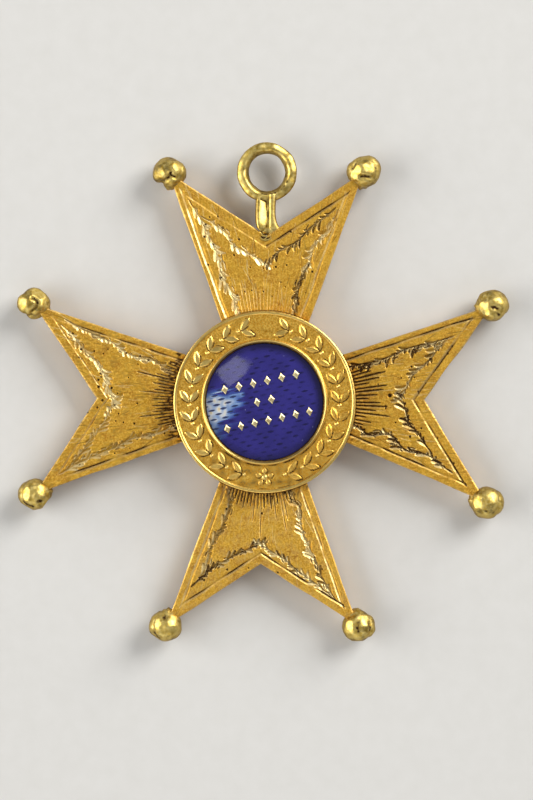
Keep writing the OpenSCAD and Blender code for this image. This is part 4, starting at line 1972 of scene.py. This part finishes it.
@dataclass
class GiltMarks:
    """Builds the gilt marks: small four-pointed stars in tilted rows on the glass."""

    dome: EnamelDome
    rows: tuple[MarkRow, ...] = (MarkRow(1.75, 6, 1.25), MarkRow(0.1, 2, 1.25), MarkRow(-1.6, 7, 1.2))
    tilt: float = ROW_TILT
    width: float = 0.6
    length: float = 0.86
    rise: float = 0.075
    points: int = 24
    hollow: float = 0.9

    def star(self, parts: MeshParts, x: float, y: float, stretch: float, lean: float) -> None:
        """Add one star with sloping facets, laid on the dome.

        Args:
            parts: the marks.
            x: first coordinate of its middle.
            y: second coordinate.
            stretch: how much wider it is than usual.
            lean: how far it leans from the tilt of the rows, in degrees.
        """
        around = np.linspace(0, math.tau, self.points, endpoint=False)
        c, s = np.cos(around), np.sin(around)
        reach = (np.abs(c) ** self.hollow + np.abs(s) ** self.hollow) ** (-1 / self.hollow)
        rings = []
        for share, lift in ((1.0, -0.02), (0.94, 0.03), (0.6, self.rise)):
            u = c * reach * share * self.width / 2 * stretch
            v = s * reach * share * self.length / 2
            px, py = turned(u, v, self.tilt + lean)
            px, py = px + x, py + y
            rings.append(np.column_stack([px, py, self.dome.top(px, py) + lift]))
        # Painted shade round the foot of each star, which gives it a dark outline.
        darkness = np.repeat((1.0, 0.35, 0.0), self.points)
        index = parts.add_points(np.stack(rings), darkness)
        parts.add_quads(index, round_columns=True, smooth=False)
        parts.add_cap(index[0])
        parts.add_tip(index[-1], np.array([x, y, self.dome.top(x, y) + self.rise + 0.008]), smooth=False)

    def build(self, material: Material) -> None:
        """Lay the stars and finish them.

        Args:
            material: their finish.
        """
        parts = MeshParts()
        rng = np.random.default_rng(4)
        for row in self.rows:
            for i in range(row.count):
                x, y = turned((i - (row.count - 1) / 2) * row.step, row.y, self.tilt)
                self.star(parts, x, y, rng.uniform(0.9, 1.08), rng.uniform(-6, 6))
        finish_piece(parts.build("gilt_stars"), material, ("gilt_marks",))


@dataclass(frozen=True)
class Softbox:
    """A softbox that hangs above the badge and faces it.

    Azimuth and elevation are in degrees, distance and size in metres, and power is in watts.
    """

    name: str
    azimuth: float
    elevation: float
    distance: float
    size: XY
    power: float

    def build(self) -> None:
        """Hang the softbox and turn it to the badge."""
        lamp = bpy.data.lights.new(self.name, "AREA")
        lamp.shape = "RECTANGLE"
        lamp.size, lamp.size_y = self.size
        lamp.energy = self.power
        stand = bpy.data.objects.new(self.name, lamp)
        way = Vector(facing(self.azimuth, self.elevation))
        stand.location = way * self.distance
        stand.rotation_euler = way.to_track_quat("Z", "Y").to_euler()
        bpy.context.scene.collection.objects.link(stand)


@dataclass
class Studio:
    """The floor, the sky light, the softboxes and the camera.

    The picture's height and the place that the camera aims at are in millimetres.
    """

    softboxes: tuple[Softbox, ...] = (
        Softbox("softbox_left", 182, 24, 0.6, (0.6, 0.4), 3.5),
        Softbox("softbox_right", 38, 28, 0.7, (0.42, 0.42), 5.6),
        Softbox("softbox_above", 134, 80.6, 0.9, (0.086, 0.052), 0.033),
        Softbox("reflector_below", 266, 25, 0.6, (0.5, 0.3), 0.62),
    )
    sky_low: str = "#5C5C60"
    sky_high: str = "#98989A"
    floor_half: float = 4.0
    lens: float = 200.0
    sensor: float = 36.0
    picture_height: float = 68.86
    aim: XY = (0.327, -0.641)

    def build_floor(self) -> None:
        """Lay the paper that the badge rests on."""
        mesh = bpy.data.meshes.new("studio_floor")
        h = self.floor_half
        mesh.from_pydata([(-h, -h, 0), (h, -h, 0), (h, h, 0), (-h, h, 0)], [], [(0, 1, 2, 3)])
        floor = bpy.data.objects.new("studio_floor", mesh)
        mesh.materials.append(StudioPaper().build())
        bpy.context.scene.collection.objects.link(floor)

    def build_sky(self) -> None:
        """Light the studio from all sides: dim at the horizon and paler overhead."""
        world = bpy.data.worlds.new("studio_sky")
        bpy.context.scene.world = world
        world.use_nodes = True
        tree = world.node_tree
        tree.nodes.clear()
        add = partial(node, tree)
        way = add("SeparateXYZ", {0: add("TexCoord").outputs["Generated"]})
        share = add("MapRange", {"Value": way.outputs["Z"], "From Min": 0.05, "From Max": 0.7})
        colour = add("Mix", {0: share, 6: linear(self.sky_low), 7: linear(self.sky_high)},
                     data_type="RGBA")
        light = add("Background", {"Color": colour, "Strength": 1.0})
        add("OutputWorld", {"Surface": light})

    def build_camera(self) -> None:
        """Set the camera straight above the badge."""
        data = bpy.data.cameras.new("camera")
        data.lens = self.lens
        data.sensor_width = self.sensor
        data.clip_start = 0.01
        camera = bpy.data.objects.new("camera", data)
        distance = self.picture_height * self.lens / self.sensor
        camera.location = Vector((self.aim[0], self.aim[1], PLACES.plate_top + distance)) * MM
        bpy.context.scene.collection.objects.link(camera)
        bpy.context.scene.camera = camera

    def build(self) -> None:
        """Build the whole studio."""
        bpy.context.scene.view_settings.view_transform = "Standard"
        self.build_floor()
        self.build_sky()
        for softbox in self.softboxes:
            softbox.build()
        self.build_camera()


# The four arms as measured. The numbers of a border are its inset, strength, darkening by dirt and
# painted shade, shine with painted highlights and width, those after the stem of a spray are its
# darkening, shine, leaning, leaf and width, and those of a pit are its place, radius and depth.
FS, FN, SN, SS = Edge.FIRST_SIDE, Edge.FIRST_NOTCH, Edge.SECOND_NOTCH, Edge.SECOND_SIDE

RIGHT = Arm(
    "arm_right", turn=0, root_shift=0.39, first=(-0.49, -0.3), second=(0.02, -0.04),
    notch=(-0.35, 0.17),
    rays=Rays(-13.0, 2.1, (0.9, 1.5, 1.0, 3.2, 1.8, 2.9, 2.2, 1.2, 1.9, 2.6, 3.0, 1.3, 2.2, 3.1, 1.8,
                           1.1), 1.2, width=0.27, depth=0.13),
    borders=(Border(FS, 0.75, 1.0, 0.95, 0.4), Border(FN, 0.8, 0.8, 0.8, 0.5, 0.34),
             Border(SN, 0.75, 0.8, 0.8, 0.5, 0.32), Border(SS, 0.5, 1.0, 0.9, 0.5)),
    sprays=(Spray(((7.4, -1.7), (8.5, -2.6), (9.2, -3.0), (10.0, -2.75), (10.8, -2.8), (11.4, -3.35),
                   (12.0, -4.25), (13.6, -4.45), (14.5, -4.8), (15.1, -5.4), (16.0, -6.0)), 0.9, 0.9,
                  leaf=1.12, width=0.46),
            Spray(((11.9, 0.1), (12.2, -1.0), (12.4, -1.9), (13.2, -2.7), (13.7, -3.5), (14.3, -4.3)),
                  0.85, 0.9, leaf=1.1, width=0.46),
            Spray(((11.9, 0.6), (12.4, 1.6), (12.9, 2.6), (13.7, 3.1), (14.4, 3.8), (15.0, 4.7),
                   (15.7, 5.4)), 0.7, 0.9, leaf=1.08, width=0.44, follow=0.3),
            Spray(((7.4, 3.1), (9.4, 3.4), (10.6, 3.8), (12.0, 4.5), (13.2, 4.85), (14.6, 5.1),
                   (16.1, 5.6)), 0.8, 0.9, 0.95, 1.08, 0.42, splay=50)),
    pits=(Pit(10.8, 0.56, 0.21, 0.2), Pit(16.15, 4.8, 0.1), Pit(15.78, 4.16, 0.12),
          Pit(14.28, 3.69, 0.15), Pit(16.3, -5.28, 0.1), Pit(14.9, -3.1, 0.09), Pit(13.5, -2.27, 0.1)),
    specks=16, seed=11, tarnish=0.16, scorch=0.25)

TOP = Arm(
    "arm_top", turn=90, root_shift=-0.06, first=(0.24, -0.26), second=(0.15, -0.09),
    notch=(0.2, -0.15),
    rays=Rays(-17.0, 1.9, (1.2, 2.0, 1.6, 2.4, 1.9, 3.0, 2.0, 2.6, 2.2, 3.2, 2.1, 2.5, 3.0, 1.9, 2.3,
                           2.8, 1.8, 1.3), 0.3, 0.45, 0.15, 0.035),
    borders=(Border(FS, 0.75, 0.7, 0.25, 0.8), Border(FN, 0.8, 1.0, 1.0, 0.4),
             Border(SN, 0.8, 0.35, 0.2, 0.4), Border(SS, 0.55, 1.1, 0.15, 1.0, 0.38)),
    sprays=(Spray(((8.3, -2.8), (9.8, -2.9), (10.7, -3.2), (11.8, -3.8)), 0.62, 1.0, 0.9, 1.1, 0.44),
            Spray(((11.7, -3.75), (12.4, -4.05), (13.2, -4.1), (14.2, -5.0), (15.1, -5.8),
                   (16.4, -6.3)), 0.35, 1.2, 0.9, 1.1, 0.5),
            Spray(((12.3, -0.6), (12.9, -1.1), (13.4, -1.9), (13.7, -2.8), (14.6, -3.5), (15.3, -4.3),
                   (15.9, -5.2), (16.6, -6.0)), 0.66, 0.9, width=0.36, follow=0.4),
            Spray(((12.1, 0.2), (12.5, 0.8), (12.9, 1.7), (13.6, 2.8), (14.5, 3.35), (15.4, 4.4),
                   (15.9, 5.3)), 0.3, 1.2, width=0.56, follow=0.75),
            Spray(((8.1, 2.4), (10.0, 3.1), (10.9, 3.8), (12.4, 3.9), (14.3, 4.8), (15.7, 5.5),
                   (17.2, 6.4)), 0.3, 1.2, 0.95, 1.25, 0.56)),
    pits=(Pit(9.5, 1.7, 0.08), Pit(9.6, 1.1, 0.08), Pit(9.5, 0.1, 0.08), Pit(10.3, -1.4, 0.08),
          Pit(9.9, -1.8, 0.07), Pit(9.1, -0.65, 0.07), Pit(15.3, 5.07, 0.11), Pit(11.8, 4.86, 0.12),
          Pit(14.0, 2.2, 0.13), Pit(15.9, 4.73, 0.1), Pit(10.7, 3.75, 0.1), Pit(13.35, 2.55, 0.08)),
    specks=14, seed=22, tarnish=0.12)

LEFT = Arm(
    "arm_left", turn=180, root_shift=-0.38, first=(0.33, -0.13), second=(0.2, -0.39),
    notch=(0.3, -0.33),
    rays=Rays(-25.0, 1.68, (0.7, 1.1, 0.8, 1.3, 1.6, 1.3, 1.9, 3.4, 1.6, 1.9, 1.4, 1.8, 3.2, 1.5, 1.8,
                            1.4, 1.9, 1.6, 1.9, 3.2, 1.8, 1.3, 1.6, 1.0), 1.0, 0.5),
    borders=(Border(FS, 0.6, 0.9, 0.7, 0.5), Border(FN, 0.8, 0.8, 0.35, 0.6, 0.24),
             Border(SN, 0.8, 0.7, 0.35, 0.5, 0.24), Border(SS, 0.62, 0.9, 0.85, 0.45, 0.32)),
    sprays=(Spray(((8.6, -2.9), (9.9, -3.9), (11.0, -3.8), (12.2, -4.4), (13.3, -5.3), (15.0, -5.9),
                   (17.0, -7.0)), 0.45, 1.2, width=0.5),
            Spray(((13.0, -0.3), (13.4, -1.2), (13.9, -2.6), (14.5, -3.6), (15.4, -4.3), (16.3, -5.6),
                   (17.3, -6.5)), 0.35, 1.2, 0.8, 1.2, 0.5, follow=0.65),
            Spray(((12.8, -0.1), (13.3, 0.57), (13.6, 1.55), (14.2, 2.4), (15.2, 3.5), (15.85, 4.6),
                   (17.0, 5.8)), 0.4, 1.2, 0.8, width=0.5, follow=0.65),
            Spray(((7.6, 2.0), (9.2, 2.7), (10.7, 3.0), (11.8, 3.25), (12.6, 3.8), (13.9, 4.3),
                   (15.7, 5.1), (17.5, 6.1)), 0.45, 1.2, 0.8, 1.1, 0.5)),
    pits=(Pit(14.3, -1.3, 0.15, 0.16), Pit(16.5, -5.9, 0.1), Pit(14.65, -4.37, 0.11),
          Pit(14.06, -2.16, 0.11), Pit(11.9, -4.2, 0.09), Pit(10.7, -3.94, 0.11), Pit(12.9, 0.24, 0.1),
          Pit(15.97, -3.8, 0.08), Pit(13.95, -0.13, 0.14), Pit(14.4, 0.48, 0.12)),
    specks=22, seed=33, tarnish=0.18, scorch=0.75)

BOTTOM = Arm(
    "arm_bottom", turn=270, root_shift=-0.11, first=(-0.32, -0.13), second=(-0.28, -0.3),
    notch=(-0.15, -0.3),
    rays=Rays(-21.0, 1.9, (0.8, 1.2, 0.9, 1.3, 1.0, 1.5, 1.1, 1.3, 2.6, 1.4, 4.0, 1.3, 1.1, 1.5, 2.4,
                           1.1, 3.6, 2.6, 1.0, 1.2), 1.5, 0.6, fade=0.6),
    borders=(Border(FS, 0.65, 0.9, 0.3, 0.9), Border(FN, 0.8, 0.8, 0.8, 0.6),
             Border(SN, 0.8, 1.0, 1.0, 0.5), Border(SS, 0.65, 0.9, 0.35, 0.9)),
    sprays=(Spray(((7.7, -3.1), (8.6, -3.0), (9.8, -3.3), (11.0, -3.75), (12.0, -4.4), (13.1, -4.9),
                   (14.3, -5.0), (15.6, -5.9)), 0.5, 1.1, 0.8, 1.1, 0.48),
            Spray(((12.3, -0.57), (12.7, -1.4), (13.1, -2.4), (13.8, -3.65), (14.6, -4.9), (15.8, -6.2)),
                  0.75, 0.9, 0.8, width=0.46, follow=0.6),
            Spray(((12.3, -0.37), (12.9, 0.65), (13.6, 1.8), (14.65, 2.9), (15.4, 4.1), (16.6, 5.6)),
                  0.6, 1.1, 0.8, width=0.46, follow=0.6),
            Spray(((7.7, 2.4), (8.6, 2.6), (9.4, 3.28), (10.3, 3.07), (11.6, 3.43), (12.7, 3.9),
                   (13.5, 4.4), (14.5, 4.65), (16.0, 5.4), (17.0, 6.1)), 0.5, 1.15, 1.1, 1.0, 0.46,
                  splay=36)),
    seed=44, tarnish=0.08, scorch=0.4, rubbed=0.05, scuffs=Scuffs(count=130, darkening=0.3))

ARMS = (RIGHT, TOP, LEFT, BOTTOM)

# The eight beads: dents, creases and lobes, each with the way it faces or runs as turn and lift in
# degrees, then its depth or rise, and its spread or width.
BEADS = (
    Bead("bead_right_lower", RIGHT, Tip.FIRST, 101, (Dent(175, 54, 0.1, 60),),
         (Crease(((262, 56), (270, 54)), 0.1, 6, 1.4),
          Crease(((100, 76), (180, 84), (240, 72)), 0.04, 9, 0.35),
          Crease(((350, 40), (300, 36)), 0.05, 12, 0.5)),
         (Lobe(0, -12, 0.22, 48), Lobe(275, -10, 0.09, 50))),
    Bead("bead_right_upper", RIGHT, Tip.SECOND, 102, (Dent(202, 56, 0.12, 60), Dent(120, 55, 0.06)),
         (Crease(((250, 80), (318, 76), (322, 66)), 0.14, 9, 1.3),
          Crease(((300, 52), (304, 38)), 0.12, 7, 1.3),
          Crease(((150, 60), (135, 40)), 0.06, 8, 0.6)),
         (Lobe(262, 38, 0.09), Lobe(205, 20, 0.1, 30), Lobe(10, -12, 0.1, 45))),
    Bead("bead_top_right", TOP, Tip.FIRST, 103, (Dent(188, 55, 0.1, 60), Dent(275, 10, 0.12, 30)),
         (Crease(((238, 64), (288, 68), (311, 53)), 0.18, 8, 1.3),
          Crease(((15, 42), (325, 40)), 0.05, 9, 0.8),
          Crease(((140, 40), (165, 36)), 0.08, 7, 0.9)),
         (Lobe(262, 42, 0.08, 26), Lobe(185, 0, 0.19, 42), Lobe(40, -14, 0.14, 48))),
    Bead("bead_top_left", TOP, Tip.SECOND, 104, (Dent(184, 66, 0.08, 60),),
         (Crease(((18, 80), (310, 75), (257, 62), (235, 34)), 0.22, 8, 1.2),
          Crease(((310, 75), (323, 55)), 0.17, 7, 1.1), Crease(((236, 24), (238, -20)), 0.34, 15, 0.5)),
         (Lobe(284, 46, 0.08, 22), Lobe(205, 20, 0.06, 26), Lobe(0, -12, 0.16, 45))),
    Bead("bead_left_upper", LEFT, Tip.FIRST, 105,
         (Dent(285, 30, 0.25, 44), Dent(60, 40, 0.2, 40), Dent(135, 0, 0.24, 34)),
         (Crease(((92, 68), (35, 70), (355, 70), (312, 67), (264, 55)), 0.2, 7, 1.6),
          Crease(((240, 20), (262, 34)), 0.14, 7, 1.2), Crease(((232, 10), (236, -20)), 0.3, 16, 0.6)),
         (Lobe(182, 46, 0.14, 40), Lobe(288, 40, 0.1, 18))),
    Bead("bead_left_lower", LEFT, Tip.SECOND, 106,
         (Dent(174, 60, 0.1, 60), Dent(240, 5, 0.16, 34), Dent(325, 0, 0.2, 34)),
         (Crease(((306, 56), (312, 50)), 0.2, 10, 2.2),
          Crease(((215, 33), (238, 38), (262, 36)), 0.07, 8, 1.3)), (Lobe(170, -8, 0.13, 45),)),
    Bead("bead_bottom_left", BOTTOM, Tip.FIRST, 107, (Dent(43, 48, 0.08, 60), Dent(153, 57, 0.07, 60)),
         (Crease(((104, 60), (98, 46)), 0.1, 10, 1.4), Crease(((208, 28), (240, 26)), 0.08, 8, 1.2),
          Crease(((255, 66), (300, 70)), 0.04, 9, 0.4)),
         (Lobe(175, -8, 0.13, 45),)),
    Bead("bead_bottom_right", BOTTOM, Tip.SECOND, 108,
         (Dent(48, 50, 0.08, 60), Dent(177, 55, 0.08, 60), Dent(270, 5, 0.1)),
         (Crease(((90, 74), (200, 86), (270, 72)), 0.06, 11, 1.0),
          Crease(((14, 38), (341, 36)), 0.1, 7, 1.2)),
         (Lobe(0, -12, 0.18, 48),)),
)


def main() -> None:
    """Build the studio and every piece of the badge."""
    logging.basicConfig(level=logging.INFO, format="%(message)s")
    Studio().build()
    matt, burnished = MATT_ENGRAVED_GOLD.build(), BURNISHED_GOLD.build()
    for arm in ARMS:
        ArmPlate(arm).build(matt)
    Hub(ARMS).build(matt)
    for bead in BEADS:
        bead.build(burnished)
    SuspensionEye().build(burnished)
    MedallionFrame().build(STIPPLED_GOLD.build())
    pattern = TurnedPattern()
    GroundPlate(pattern).build(ENGINE_TURNED_GOLD.build())
    dome = EnamelDome(pattern)
    dome.build(GlassEnamel().build())
    GiltMarks(dome).build(BURNISHED_GILDING.build())
    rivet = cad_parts["rivet"]
    rivet.data.materials.clear()
    rivet.data.materials.append(burnished)


if __name__ == "__main__":
    main()
